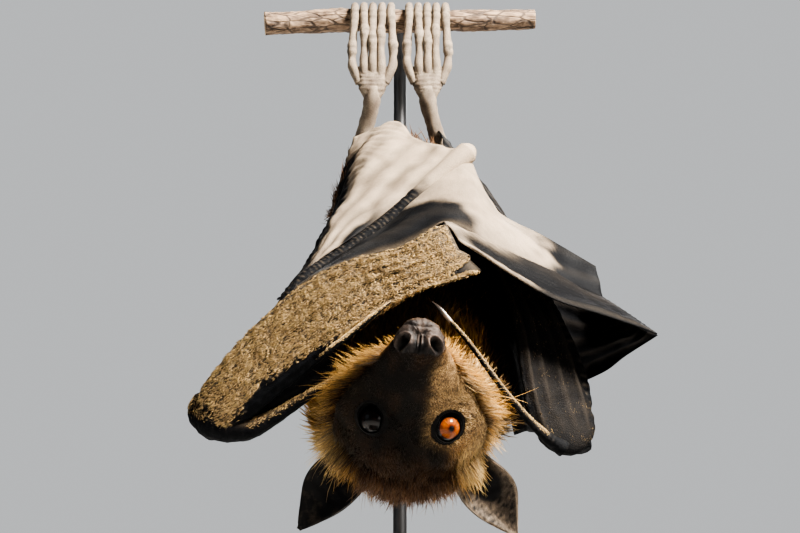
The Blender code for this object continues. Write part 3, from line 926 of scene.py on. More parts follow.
def markings(points: Array) -> dict[str, Array]:
    """Return the coat's colour masks at places on the bat.

    Args:
        points: Places in millimetres, on the skin or at a tuft's root.

    Returns:
        Masks from 0 to 1: gold on the mantle and a painted pool of light right of the nose, buff beside the
            neck, tan
        on the right cheek as painted light, and brown on crown, chest and back where the short face fur is
        near black.
    """
    f, h, a = head_axes(points)
    x, y, z = points[..., 0], points[..., 1], points[..., 2]
    mottle = grain(points, 9.0, 5)
    above = h - middle_height(f)
    under = ease(above, 0.5, -3.5) * ease(above, -26.0, -15.0) * ease(f, 66.0, 58.0)
    nape = 0.6 * ease(y, -2.0, 14.0) * ease(z, 322.0, 290.0)
    sides = ease(f, 19.0, 12.0) * ease(above, -24.0, -16.0)
    collar = np.maximum(np.maximum(under, sides) * ease(f, -9.0, 1.0), nape) * ease(h, 30.0, 22.0)
    # Painted light: a gold pool on the lit hair right of the nose.
    lit = 0.9 * mound((x, 25.0, 13.0), (z, 294.0, 17.0)) * ease(y, 14.0, 6.0) * ease(f, 8.0, 14.0)
    chest = 0.16 * ease(z, 262.0, 272.0) * ease(y, 16.0, 8.0) * ease(f, 8.0, 20.0) * ease(h, -2.0, -8.0)
    temple = 0.55 * mound((a, 21.0, 6.0), (h, 18.0, 7.0)) * ease(f, 36.0, 28.0)
    gold = np.clip(
        np.maximum(np.maximum(collar, lit), np.maximum(chest, temple)) * (0.92 + 0.12 * mottle), 0, 1
    )
    beside = mound((np.abs(x - 5.0), 36.0, 10.0), (z, 258.0, 9.0))
    jowl = (
        0.85 * ease(np.abs(a), 19.0, 25.0) * bell(h, 21.0, 7.0)
        * ease(f + np.where(a < 0, 12.0, 0.0), 34.0, 24.0)
    )
    pale = 0.34 * collar * ease(a, -3.0, -12.0)
    buff = np.clip(
        np.maximum(np.maximum(beside * ease(f, 26.0, 12.0), jowl), pale) * (0.85 + 0.25 * mottle), 0, 1
    )
    # Painted light: tan on the right side of the face; the left side stays near black as painted shade.
    side = ease(a, 3.0, 11.0) + 0.03 * ease(-a, 12.0, 22.0)
    cheek = ease(f, 12.0, 20.0) * ease(f, 70.0, 60.0) * ease(h, 27.0, 20.0)
    tan = np.clip(cheek * side * (0.92 + 0.25 * grain(points, 3.0, 6)), 0, 1)
    brown = np.clip(0.05 + 0.80 * ease(f, 25.0, 8.0) + 0.60 * ease(h, 25.0, 34.0) + 0.1 * mottle, 0, 1)
    return {"gold": gold, "buff": buff, "tan": tan, "brown": brown}


def marked(patch: Patch) -> Patch:
    """Give a patch the coat's colour masks."""
    return patch.with_values(**markings(patch.points))


@dataclass(frozen=True)
class Eye:
    """One eye: its ball, cornea and iris, and the thick lid rolled round it."""

    side: float
    radius: float = 6.0
    opening: float = 4.95

    @property
    def centre(self) -> Array:
        """The middle of the ball."""
        return on_head(37.0, 17.4, self.side * 14.2)

    @property
    def axes(self) -> tuple[Array, Array, Array]:
        """The eye's own axes.

        Returns:
            The direction of its gaze and two directions square to it.
        """
        gaze = unit(0.80 * FORWARD + 0.47 * CROWN + 0.36 * self.side * ACROSS)
        right = unit(np.cross(gaze, CROWN))
        return gaze, right, np.cross(gaze, right)

    def polar(self, points: Array) -> tuple[Array, Array, Array]:
        """Return places in the eye's own terms.

        Args:
            points: Places in millimetres.

        Returns:
            Distance from the gaze line, height along it, and angle round it.
        """
        gaze, right, up = self.axes
        rel = points - self.centre
        x, y = rel @ right, rel @ up
        return np.hypot(x, y), rel @ gaze, np.arctan2(y, x)

    def at(self, radius: Array, height: Array, angle: Array) -> Array:
        """Return places given in the eye's own terms.

        Args:
            radius: Distances from the gaze line.
            height: Heights along it.
            angle: Angles round it.

        Returns:
            The places in millimetres.
        """
        parts = (radius * np.cos(angle), radius * np.sin(angle), height)
        gaze, right, up = self.axes
        x, y, z = (part[..., None] * axis for part, axis in zip(parts, (right, up, gaze)))
        return self.centre + x + y + z

    def socket(self, points: Array) -> Array:
        """Sink skin that would cover the ball.

        Args:
            points: The head's skin.

        Returns:
            The skin with a pit that ends under the lids.
        """
        reach, height, _ = self.polar(points)
        amount = ease(reach, 6.8, 5.5) * (height > -4.0)
        gaze = self.axes[0]
        return points - (amount * np.maximum(height + 1.0, 0.0))[..., None] * gaze

    def ball(self) -> Patch:
        """Return the eyeball; its cornea bulges, and each point carries its place on the iris.

        The ball is turned about the gaze line. Its radius is R - 0.3 + 0.4 exp(-(angle / 0.55)^2).
        """
        rows, around = 56, 72
        tilt, turn = np.meshgrid(np.linspace(0.02, math.pi - 0.02, rows), turns(around), indexing="ij")
        radius = self.radius - 0.30 + 0.40 * bell(tilt, 0.0, 0.55)
        grid = self.at(radius * np.sin(tilt), radius * np.cos(tilt), turn)
        spoke = np.sin(17 * turn + 3 * np.sin(3 * turn)) + 0.7 * np.sin(41 * turn + 9 * tilt)
        spoke += 0.5 * np.sin(67 * turn - 14 * tilt)
        # The shade value paints the left eye near black as painted shade; the right eye keeps its colour.
        return closed_tube(
            grid, iris=np.clip(tilt, 0, 1), spoke=spoke, shade=1.0 if self.side > 0 else 0.02
        )

    def lid(self, skin: Array) -> Patch:
        """Return the lids: a rolled rim on the ball, two folds round it, and an edge that meets the skin.

        Args:
            skin: The head's skin before the socket was sunk.

        Returns:
            A closed ring.
        """
        around = 80
        turn = turns(around)
        reach, height, angle = self.polar(skin.reshape(-1, 3))
        near = (reach < 12.0) & (height > -4.0)
        sx, sy, sz = reach[near] * np.cos(angle[near]), reach[near] * np.sin(angle[near]), height[near]

        def surface(radius: Array) -> Array:
            """Find the skin's height round the gaze line, as a weighted mean of the points around.

            Args:
                radius: The distance from the line for each angle.

            Returns:
                The height for each angle.
            """
            gap = (radius * np.cos(turn) - sx[:, None]) ** 2 + (radius * np.sin(turn) - sy[:, None]) ** 2
            weight = np.exp(-gap / 0.6)
            return (weight * sz[:, None]).sum(0) / np.maximum(weight.sum(0), 1e-9)

        edge = self.opening * (1.0 - 0.07 * np.cos(2 * turn) + 0.02 * np.sin(5 * turn + 1.0))
        on_ball = np.sqrt(np.maximum((self.radius - 0.28) ** 2 - edge**2, 0.0))
        far, outer = surface(np.full(around, 8.2)), surface(np.full(around, 7.3))
        rim = on_ball + 0.10 + 0.12 * np.sin(turn)
        profile = [
            (edge - 0.35, on_ball - 0.5), (edge, on_ball + 0.12), (edge + 0.2, rim + 0.32),
            (edge + 0.45, rim + 0.42), (edge + 0.65, 0.75 * rim + 0.25 * outer + 0.10),
            (edge + 0.85, 0.62 * rim + 0.38 * outer - 0.02),
            (edge + 1.1, 0.40 * rim + 0.60 * outer + 0.25), (6.5, 0.12 * rim + 0.88 * outer + 0.12),
            (7.1, outer + 0.05), (8.0, far - 0.5), (7.8, far - 2.0), (6.0, outer - 3.0),
        ]
        ripple = 0.06 * np.sin(23 * turn + 2 * np.sin(3 * turn))
        rings = [self.at(r, high + ripple * (2 < k < 9), turn) for k, (r, high) in enumerate(profile)]
        dense = catmull_rom(np.stack(rings + rings[:1]), 3)[:-1]
        points = dense.reshape(-1, 3)
        quads = grid_quads(len(dense) + 1, around, True) % len(points)
        patch = face_out(Patch(points, quads, Skin.LID), self.centre)
        return patch.with_values(light=0.10 + 0.15 * grain(points, 2.5, 31))


def face_out(patch: Patch, centre: Array) -> Patch:
    """Turn a closed ring's faces outwards by the sign of its volume.

    Args:
        patch: The ring.
        centre: A place in its middle.

    Returns:
        The same patch.
    """
    corners = patch.points[patch.quads] - centre
    split = np.concatenate([corners[:, [0, 1, 2]], corners[:, [0, 2, 3]]])
    volume = np.einsum("ij,ij->i", split[:, 0], np.cross(split[:, 1], split[:, 2])).sum()
    if volume < 0:
        patch.quads = patch.quads[:, ::-1]
    return patch


class Skin(IntEnum):
    """Material indices on the skin."""

    COAT = 0
    WING = 1
    NOSE = 2
    EAR = 3
    LID = 4
    FOOT = 5


@dataclass(frozen=True)
class Head:
    """The skull, muzzle and nose. Stations are forward, crownwards, half width and half height."""

    stations: tuple[tuple[float, float, float, float], ...] = (
        (-7.0, 14.0, 5.0, 4.5), (-5.0, 14.2, 13.0, 10.0), (-1.0, 15.0, 20.0, 14.6), (8.0, 15.2, 25.3, 18.0),
        (17.0, 14.4, 27.8, 18.8), (26.0, 12.9, 28.4, 17.6), (33.0, 10.8, 27.6, 15.5),
        (40.0, 8.0, 25.0, 13.4), (46.0, 5.7, 21.6, 11.9), (52.0, 3.8, 17.6, 10.7),
        (58.0, 2.4, 13.8, 9.7), (63.0, 0.9, 11.2, 8.6), (67.0, -0.2, 9.8, 7.7), (70.6, -1.1, 8.9, 7.1),
        (73.2, -1.5, 7.8, 6.4), (74.9, -1.7, 5.2, 4.8), (75.5, -1.7, 1.2, 1.2),
    )
    rows: int = 124
    around: int = 112
    eyes: tuple[Eye, Eye] = (Eye(-1.0), Eye(1.0))

    def plain(self) -> Array:
        """Return the grid without its small forms: rings of ellipses along the forward axis."""
        even = smooth_path(self.stations, 400)
        step = 1.0 + 1.6 * ease(even[:, 0], 58.0, 70.0) + 0.7 * bell(even[:, 0], 34.0, 12.0)
        steps = step[1:] * np.linalg.norm(np.diff(even[:, :3], axis=0), axis=1)
        reach = np.append(0.0, np.cumsum(steps))
        at = np.linspace(0, reach[-1], self.rows)
        f, c, w, h = (np.interp(at, reach, even[:, k])[:, None] for k in range(4))
        turn = turns(self.around)[None, :]
        square = 1.0 - 0.05 * np.cos(4 * turn + math.pi)
        return on_head(f, c + h * np.sin(turn) * square, w * np.cos(turn) * square)

    def relief(self, points: Array) -> Array:
        """Return the height of brows, cheeks, lips, nostrils and the groove between them.

        Args:
            points: Places on the plain grid.

        Returns:
            Millimetres outwards at each place.
        """
        f, h, a = head_axes(points)
        wide = np.abs(a)
        lift = 1.3 * mound((f, 26, 6), (h, 25, 6), (wide, 12, 6))
        lift += 0.9 * mound((f, 28, 7), (h, 3, 6), (wide, 21, 6))
        lift -= 1.5 * mound((f, 36, 9), (a, 0.0, 4.5)) * ease(h, 10.0, 18.0)
        lift += 0.9 * mound((f, 60, 7), (h, -0.5, 4)) * ease(wide, 4.0, 8.0)
        front = ease(f, 66.5, 71.0)
        lift += 1.2 * front * mound((wide, 5.4, 3.1), (h, 1.6, 3.0))
        between = ease(h, -3.2, -1.5) * ease(h, 6.5, 4.0)
        lift -= front * 1.1 * bell(a, 0.0, 1.9) * between
        lift += front * 0.75 * bell(wide, 0.72, 0.34) * between
        pit = self.nostril(h, wide)
        open_front = ease(f, 67.5, 70.5)
        lift -= open_front * 4.3 * np.exp(-(pit**4))
        lift += open_front * self.rim(h, wide) * 1.15
        lip = -4.4 - 0.07 * (72.0 - f) + 0.35 * np.cos(wide * 0.5)
        gap = h - lip
        along = ease(f, 46.0, 52.0) * (1.0 - 0.65 * ease(f, 64.0, 69.0))
        lift += (
            along * (0.35 * bell(gap, 1.2, 1.0) + 0.5 * bell(gap, -1.3, 1.1) - 0.7 * bell(gap, 0.0, 0.35))
        )
        lift += 1.6 * front * np.exp(-((a / 8.0) ** 4) - ((h + 5.8) / 3.4) ** 2)
        for number in range(3):
            crease = f - (66.5 - 3.0 * number) - 0.12 * (wide - 4.0) ** 2 * 0.5
            lift -= 0.28 * bell(crease, 0.0, 0.45) * ease(wide, 3.0, 5.5) * ease(h, -3.0, 0.0)
        fine = 0.10 * grain(points, 2.2, 21) + 0.05 * grain(points, 1.1, 22)
        return lift + fine * ease(f, 50.0, 68.0) + 0.35 * grain(points, 14.0, 23) * ease(f, 50.0, 30.0)

    def nostril(self, h: Array, wide: Array) -> Array:
        """Return the distance from the nostril's middle in its own radii."""
        return np.hypot((wide - 5.9) / 2.05, (h - 1.3) / 1.8)

    def rim(self, h: Array, wide: Array) -> Array:
        """Roll a rim round the nostril: a ring, full on its inner side, with a comma's tail crownwards.

        Args:
            h: Places crownwards.
            wide: Places outwards from the middle.

        Returns:
            The rim's height, from 0 to 1.
        """
        ring = bell(self.nostril(h, wide), 1.36, 0.26) * (0.35 + 0.65 * ease(wide, 7.0, 4.5))
        tail = bell(wide, 3.3 - 0.18 * (h - 2.0), 0.75) * ease(h, -0.5, 1.5) * ease(h, 6.8, 4.5)
        return np.maximum(ring, tail)

    def grids(self) -> tuple[Array, Array]:
        """Return the skin's grid before and after its sockets are sunk."""
        base = self.plain()
        normals = grid_normals(base, True) * outward_sign(base, True)
        formed = base + normals * self.relief(base)[..., None]
        sunk = formed
        for eye in self.eyes:
            sunk = eye.socket(sunk)
        return formed, sunk

    def patches(self) -> list[Patch]:
        """Return the head's skin and lids."""
        formed, sunk = self.grids()
        _, h, a = head_axes(formed)
        base_f, base_h, base_a = head_axes(self.plain())
        wide = np.abs(base_a)
        pit, rim = self.nostril(base_h, wide), self.rim(base_h, wide)
        groove = bell(base_a, 0.0, 0.4) + bell(wide, 1.6, 0.5)
        # Painted shade: near black in the nostrils, in the groove between them and on the skin crownwards of
        # them. Painted light: the nostril rims, the ridges beside the groove and the right side are lighter.
        dark = (
            1.2 * np.exp(-((pit / 1.02) ** 4))
            + 0.8 * groove * ease(base_h, -3.0, -1.5) * ease(base_h, 6.5, 4.5)
        )
        fold = np.clip(dark * ease(base_f, 68.0, 71.0) + 0.92 * ease(base_h, 1.4, 3.4) * (1 - rim), 0, 1)
        light = 0.12 + 0.60 * rim + 0.30 * bell(wide, 0.72, 0.35) + 0.12 * ease(a, -4.0, 6.0)
        light = np.clip(light + 0.10 * grain(formed, 3.0, 24), 0, 1) * ease(h, 4.8, 2.6)
        skin = marked(closed_tube(sunk, Skin.COAT, light=light, fold=fold))
        middle = skin.points[skin.quads].mean(axis=1)
        mf, mh, _ = head_axes(middle)
        forward = mf + 0.4 * grain(middle, 3.0, 25) - 5.0 * ease(mh, 3.5, 6.5) - 4.0 * ease(mh, -4.0, -7.0)
        nose = Patch(skin.points, skin.quads[forward > 68.6], Skin.NOSE, skin.values)
        rest = Patch(skin.points, skin.quads[forward <= 68.6], Skin.COAT, skin.values)
        return [merge_slots([rest, nose])] + [eye.lid(formed) for eye in self.eyes]


def merge_slots(patches: Sequence[Patch]) -> Patch:
    """Join patches that share their points.

    Args:
        patches: Patches with the same points and values, each with its own quads and slot.

    Returns:
        One patch with a slot for each quad.
    """
    joined = Patch(patches[0].points, np.vstack([p.quads for p in patches]), 0, patches[0].values)
    joined.slot = np.concatenate([np.full(len(p.quads), p.slot) for p in patches])
    return joined


@dataclass(frozen=True)
class Ear:
    """A pointed leaf of an ear, dished towards one side, with a rolled rim."""

    base: Triple
    tip: Triple
    hollow: Triple
    lit: float
    outer: float
    halves: tuple[Triple, ...] = (
        (-0.22, 7.0, 6.6), (0.0, 8.8, 7.4), (0.14, 10.3, 8.8), (0.28, 11.6, 9.5), (0.42, 12.0, 9.2),
        (0.56, 10.9, 8.1), (0.70, 8.0, 6.2), (0.83, 4.8, 3.9), (0.93, 2.2, 1.9), (1.0, 0.45, 0.45),
    )

    def frame(self) -> tuple[Array, Array, Array, Array]:
        """Return the base and the directions along, towards the hollow and across."""
        base, tip = np.asarray(self.base), np.asarray(self.tip)
        along = unit(tip - base)
        out = np.asarray(self.hollow)
        out = unit(out - along * out.dot(along))
        return base, tip - base, out, np.cross(along, out)

    def grid(self, rows: int = 44, cols: int = 26) -> tuple[Array, Array, Array]:
        """Return the ear's middle surface with its place along and across.

        The dish is 4.6 sin(pi (0.25 + 0.8 t)) (1 - a^2), with a rim rolled back where |a| nears 1.

        Args:
            rows: Points along it.
            cols: Points across it.

        Returns:
            The grid, and each point's places t from base to tip and a from edge to edge.
        """
        t = np.linspace(-0.22, 1.0, rows)
        wide_out, wide_in = spline_values(np.asarray(self.halves), t).T
        a = np.sin(np.linspace(-1, 1, cols) * math.pi / 2)
        tt, aa = np.meshgrid(t, a, indexing="ij")
        half = np.where(aa * self.outer > 0, wide_out[:, None], wide_in[:, None])
        base, reach, out, wide = self.frame()
        dish = 4.6 * np.sin(math.pi * np.clip(0.25 + 0.8 * tt, 0, 1)) * (1 - aa**2)
        dish += 0.9 * ease(tt, 0.25, -0.1) * (1 - aa**2)
        roll = -0.9 * ease(np.abs(aa), 0.86, 1.0) * ease(tt, 1.0, 0.8)
        pleat = 0.16 * np.sin(tt * 46.0 + 1.6 * aa) * ease(np.abs(aa), 0.9, 0.5) * bell(tt, 0.5, 0.32)
        wave = 0.5 * np.sin(5.1 * tt + 2.0) * aa
        lift = -dish + roll + pleat + wave
        grid = base + tt[..., None] * reach + (half * aa)[..., None] * wide + lift[..., None] * out
        return grid, tt, aa

    def patch(self) -> Patch:
        """Return the closed ear; its inner side carries the light value, painted light on its lit half and
        rim, and its hollow the fold value, painted shade.
        """
        grid, tt, aa = self.grid()
        _, _, out, _ = self.frame()
        thick = 0.75 + 0.5 * ease(np.abs(aa), 0.8, 1.0)
        rim = ease(np.abs(aa), 0.86, 0.97) * ease(tt, 0.02, 0.2)
        hollow = ease(np.hypot((tt - 0.26) / 0.27, (aa * self.outer - 0.12) / 0.62), 1.15, 0.75)
        lit_half = 0.30 + 0.35 * ease(-aa * self.outer, -0.3, 0.5)
        inner = lit_half * (0.8 + 0.4 * grain(grid, 1.6, 35)) * (1 - hollow) + 0.75 * rim
        patch = closed_sheet(
            grid, thick, Skin.EAR, light=np.clip(inner, 0, 1) * self.lit, fold=hollow * (1 - rim)
        )
        count = tt.size
        front_first = (grid_normals(grid, False) @ out).mean() < 0
        back = slice(count, None) if front_first else slice(0, count)
        patch.values["light"][back] = 0.04 + 0.5 * rim.reshape(-1) * self.lit
        patch.values["fold"][back] = 0.1
        return patch


# The left ear's lit value of 0.03 keeps it near black as painted shade; the right ear is painted lit.
EARS = (
    Ear((-17.0, -23.5, 246.5), (-41.0, -12.0, 220.5), (0.35, -0.93, 0.10), 0.03, 1.0),
    Ear((27.5, -22.5, 243.0), (47.0, -11.0, 218.5), (-0.30, -0.95, 0.10), 1.0, -1.0),
)


# ---------------------------------------------------------------- body and limbs

Rail = Sequence[Sequence[float]]
FRONT = (0.0, -1.0, 0.0)


def limb_grid(stations: Rail, rows: int, around: int, across: Sequence[float] = (1.0, 0.0, 0.0)) -> Array:
    """Return rings along a tapered limb.

    Args:
        stations: Rows of x, y, z, half width and, where it differs, half depth.
        rows: Number of rings.
        around: Points in each ring.
        across: The direction that the width lies along.

    Returns:
        An array of shape (rows, around, 3).
    """
    path = smooth_path([s if len(s) == 5 else (*s, s[3]) for s in stations], rows)
    centres = path[:, :3]
    tangent = unit(np.gradient(centres, axis=0))
    side = np.asarray(across, float)[None, :]
    side = unit(side - tangent * (side * tangent).sum(1, keepdims=True))
    back = np.cross(tangent, side)
    turn = turns(around)[None, :, None]
    wide, deep = (side * path[:, 3:4])[:, None], (back * path[:, 4:5])[:, None]
    return centres[:, None] + wide * np.cos(turn) + deep * np.sin(turn)


def claw_patch(stations: Rail, rows: int, around: int, across: Sequence[float]) -> Patch:
    """Return a curved horn whose points carry how near its point they are."""
    return closed_tube(limb_grid(stations, rows, around, across), tip=np.linspace(0, 1, rows)[:, None])


def swell(grid: Array, scale: Array) -> Array:
    """Return rings grown about their own middles by a scale for each point."""
    middle = grid.mean(axis=1, keepdims=True)
    return middle + (grid - middle) * scale[..., None]


def run_of(grid: Array) -> Array:
    """Return how many millimetres each ring lies along its limb."""
    return arc_lengths(grid.mean(axis=1))


def band_grid(
    upper: Rail, lower: Rail, half: Sequence[float], rows: int, around: int, blunt: float
) -> tuple[Array, Array, Array]:
    """Return rings of a flat limb between two edges.

    Args:
        upper: The edge at the first side.
        lower: The edge at the other side.
        half: Half thicknesses, evenly spaced along it.
        rows: Number of rings.
        around: Points in each ring.
        blunt: How far from its first end the width takes to open, like a rounded tip.

    Returns:
        The rings, each point's place across from -1 on the lower edge to 1 on the upper, and the normals.
    """
    top, low = smooth_path(upper, rows), smooth_path(lower, rows)
    centre, wide = (top + low) / 2, (top - low) / 2
    normal = unit(np.cross(unit(np.gradient(centre, axis=0)), wide))
    thick = np.interp(np.linspace(0, 1, rows), np.linspace(0, 1, len(half)), half)
    reach = arc_lengths(centre)
    open_end = np.clip(reach / blunt, 0.0, 1.0)
    narrow = np.sqrt(np.clip(1.0 - (1.0 - open_end) ** 2, 0.03, 1.0))
    wide, thick = wide * narrow[:, None], thick * narrow**0.6
    turn = turns(around)
    place = np.sign(np.cos(turn)) * np.abs(np.cos(turn)) ** 0.9
    depth = np.sign(np.sin(turn)) * np.abs(np.sin(turn)) ** 0.75
    flat = centre[:, None] + wide[:, None] * place[None, :, None]
    grid = flat + (normal * thick[:, None])[:, None] * depth[None, :, None]
    return grid, np.broadcast_to(place, (rows, around)), normal


def sheet_grid(rails: Sequence[Rail], rows: int, cols: int) -> tuple[Array, Array, Array]:
    """Return a membrane hung between rails.

    Args:
        rails: Lines that run along the membrane, from one edge to the other.
        rows: Points along each line.
        cols: Points from the first rail to the last.

    Returns:
        The grid, and each point's place along and across from 0 to 1.
    """
    lines = np.stack([smooth_path(rail, rows) for rail in rails], axis=1)
    grid = np.stack([smooth_path(line, cols) for line in lines])
    along, across = np.meshgrid(np.linspace(0, 1, rows), np.linspace(0, 1, cols), indexing="ij")
    return grid, along, across


def towards_front(grid: Array) -> Array:
    """Return a sheet's unit normals, turned towards the viewer's side of the bat."""
    normals = grid_normals(grid, False)
    return normals * np.sign(-(normals[..., 1:2]) + 1e-6)


@dataclass(frozen=True)
class Body:
    """Neck, chest and back under the coat. Stations are x, y, z, half width and half depth."""

    stations: tuple[tuple[float, ...], ...] = (
        (5, -12, 254, 16, 12), (5, -13, 260, 28, 20), (4, -10.5, 267, 38.5, 25.5), (4, -7, 278, 40.3, 28),
        (4, -3, 290, 37.3, 27.3), (4, 3, 302, 34.5, 25.5), (4, 9, 316, 34.6, 25),
        (3, 20, 336, 33.2, 25), (2, 31, 357, 31.6, 25), (1, 39, 380, 29.2, 24), (0, 44, 402, 25.0, 21),
        (0, 46, 414, 17.5, 14.5), (0, 47, 421.5, 7.5, 6.0),
    )

    def grid(self, rows: int = 96, around: int = 96) -> Array:
        """Return the body's rings with slow muscle swellings."""
        base = limb_grid(self.stations, rows, around)
        return swell(base, 1.0 + 0.012 * grain(base, 26.0, 41))

    def patch(self) -> Patch:
        """Return the closed body."""
        return marked(closed_tube(self.grid(66, 72), Skin.COAT))


@dataclass(frozen=True)
class Leg:
    """One leg: folded knee behind the body, the foot's toes up the front of the perch and over it."""

    mirror: float
    gap: float = 4.4
    middle: float = 13.2
    # For each toe: sideways sway, how far its middle stands forward, and its knuckle's height.
    toes: tuple[Triple, ...] = (
        (-1.0, 0.8, 470.0), (0.5, -0.6, 475.0), (0.0, -1.2, 472.0), (-0.6, -0.4, 477.0), (1.0, 1.0, 468.0)
    )

    def limb(self, stations: Rail, rows: int, around: int) -> Array:
        """Return the rings of a limb whose stations are given for the bat's right side."""
        return limb_grid([(self.mirror * x, *rest) for x, *rest in stations], rows, around)

    def thigh(self) -> Array:
        """Return the thigh's rings."""
        stations = [
            (12, 44, 387, 8.6), (21, 60, 391, 7.7), (27, 71, 395, 6.4), (29.3, 75, 396.5, 4.6),
            (30.1, 76.4, 397, 1.6),
        ]
        return self.limb(stations, 28, 20)

    def shank(self) -> Array:
        """Return the shank's rings, knobbed at the ankle."""
        stations = [
            (29.2, 75.6, 391, 1.4), (28.9, 74.8, 393, 4.2), (27.8, 72.2, 398, 5.4), (22, 62, 418, 4.4),
            (15.5, 49, 435, 3.7), (13.3, 43.4, 443, 4.2), (13.2, 41.5, 449, 4),
        ]
        base = self.limb(stations, 44, 18)
        run = run_of(base)[:, None]
        crease = 0.03 * np.sin(run * 2.6 + 0.9 * grain(base, 7.0, 48)) * ease(run, 30.0, 44.0)
        return swell(base, 1.0 + crease + 0.03 * grain(base, 4.0, 49))

    def sole(self) -> Array:
        """Return the back of the foot's rings, creased across and parted lengthwise by its bones."""
        stations = [
            (13.3, 43.2, 444, 4, 3.6), (13.2, 41.4, 449, 6.8, 3.6), (13.2, 40.2, 455, 8.5, 2.9),
            (13.2, 39.6, 459, 8.7, 2.2),
        ]
        base = self.limb(stations, 32, 42)
        run = run_of(base)[:, None]
        crease = 0.03 * np.sin(run * 3.2 + 1.2 * grain(base, 8.0, 43)) + 0.02 * grain(base, 2.5, 44)
        return swell(
            base, 1.0 + crease * ease(run, 1.0, 5.0) + 0.05 * self.bones(base) * ease(run, 4.0, 10.0)
        )

    def bones(self, grid: Array) -> Array:
        """Return a wave across the foot, 1 on its bones and -1 between them."""
        return np.cos((grid[..., 0] - self.mirror * self.middle) / self.gap * 2 * math.pi)

    def toe_line(self, number: int) -> list[tuple[float, ...]]:
        """Lead one toe from the sole, up the front of the perch and over it, to the claw's point.

        Args:
            number: Which toe, counted outwards from 0.

        Returns:
            Stations of x, y, z and radius.
        """
        sway, forward, knuckle = self.toes[number]
        m, spread = self.mirror, (number - 2) * self.gap
        x = m * (self.middle + spread)
        return [
            (m * (self.middle + spread * 0.7), 41.0, 451, 2.0),
            (x + m * sway * 0.6, 38.6 + forward * 0.5, 459, 2.3),
            (x + m * sway, 38.2 + forward, (knuckle + 459) / 2, 1.85),
            (x + m * sway, 37.4 + forward, knuckle, 2.45),
            (x + m * sway * 0.5, 39.2 + forward * 0.4, (knuckle + 487) / 2, 1.9),
            (x, 40.4, 488.5, 2.25), (x, 42.7, 494.2, 1.9), (x, 48.0, 496.4, 1.7), (x, 51.5, 495.4, 1.35),
            (x, 53.4, 493.6, 1.1), (x, 55.2, 489.6, 0.8), (x, 54.8, 484.6, 0.12),
        ]

    def toe(self, number: int) -> Patch:
        """Make one toe's flesh, ringed by fine creases that crowd at its knuckles.

        Args:
            number: Which toe.

        Returns:
            The closed toe.
        """
        base = limb_grid(self.toe_line(number)[:9], 54, 10)
        run = run_of(base)[:, None]
        knuckle = self.toes[number][2]
        near = np.maximum(bell(base[..., 2], knuckle, 5.0), bell(base[..., 2], 488.5, 4.0))
        near = near * ease(run, 0.0, 6.0)
        ring = np.cos(run * 4.6 + 0.7 * np.sin(run * 0.7 + number) + 0.6 * grain(base, 3.0, 45))
        crease = (0.018 + 0.03 * near) * ring - 0.03 * bell(ring, -1.0, 0.35) * near
        taper = ease(run, run.max() + 0.4, run.max() - 2.5)
        grid = swell(base, (1.0 + crease + 0.03 * grain(base, 4.5, 42)) * (0.45 + 0.55 * taper))
        # Painted highlight lightens the knuckles, and painted shade darkens the creases near them.
        lit_cream = 0.55 + 0.35 * near + 0.15 * grain(grid, 6.0, 45)
        return closed_tube(
            grid, Skin.FOOT, light=np.clip(lit_cream, 0, 1), fold=(0.12 + 0.5 * near) * bell(ring, -1.0, 0.35)
        )

    def claw(self, number: int) -> Patch:
        """Make one toe's claw: a curved horn, deeper than it is wide.

        Args:
            number: Which toe.

        Returns:
            The closed claw.
        """
        sizes = ((0.72, 1.1), (0.85, 1.3), (0.55, 0.85), (0.08, 0.10))
        stations = [(*place[:3], *size) for place, size in zip(self.toe_line(number)[8:], sizes)]
        return claw_patch(stations, 22, 10, (1.0, 0.0, 0.0))

    def patches(self) -> list[Patch]:
        """Return the leg's flesh."""
        sole, shank = self.sole(), self.shank()
        bare = ease(shank[..., 2], 408.0, 430.0)
        upper = marked(closed_tube(self.thigh(), Skin.COAT))
        light = 0.45 * bare + 0.2 * grain(shank, 5.0, 46)
        lower = closed_tube(shank, Skin.FOOT, light=light, fold=0.85 * (1 - bare))
        furrow = 0.25 * bell(self.bones(sole), -1.0, 0.5)
        foot = closed_tube(sole, Skin.FOOT, light=0.5 + 0.25 * grain(sole, 4.0, 47), fold=furrow)
        return [upper, lower, foot] + [self.toe(k) for k in range(5)]


LEGS = (Leg(-1.0), Leg(1.0))


# ---------------------------------------------------------------- wings

# Lines the wings hang between, from the wrist outwards.
FOREARM_LEFT = [
    (-82, -22, 268), (-70.5, -27.0, 288.5), (-57, -28, 308), (-42, -23.5, 323), (-25, -18.5, 338),
    (-6, -13.8, 355), (10, -11, 371), (28, -9, 389)
]
HAND_TOP_LEFT = [
    (-84, -25, 271), (-71, -34.5, 286), (-56, -42, 300), (-38.5, -48.5, 313), (-22.5, -52.5, 320.5),
    (-7, -55, 324), (2, -56, 326.5), (11.5, -55.5, 333), (18.5, -52.5, 337.5)
]
HAND_LOW_LEFT = [
    (-78, -24, 254), (-65, -31.5, 257.5), (-44, -41.5, 272), (-24, -49.5, 286), (-6, -52.5, 299),
    (8, -53.5, 307), (18, -52.3, 310.5), (27, -50.5, 314.5)
]
TRAIL_LEFT = [(28, -9, 389), (35.5, -1, 379), (44, 4, 367), (64, 3, 355), (85, 0, 340)]
FOLD_LEFT = [(18.8, -50.5, 338), (37, -42, 333), (54.5, -30, 330), (72, -17.5, 325.5), (86.5, -7.5, 323)]
DIGIT_LEFT = [
    (24, -52, 330), (34, -51.5, 323), (45, -49.5, 316), (63, -45, 307), (84, -38.8, 302.5),
    (106, -28.5, 298.5)
]
TIP_LEFT = [(106.2, -28.0, 298.2), (94, -17.5, 293), (85, -7, 289), (68, 10, 287), (46, 22, 286)]
FOREARM_RIGHT = [(72, -15, 254), (73, -9, 288), (66, -3, 315), (51, 0, 345), (34, 4, 370), (17, 11, 389)]
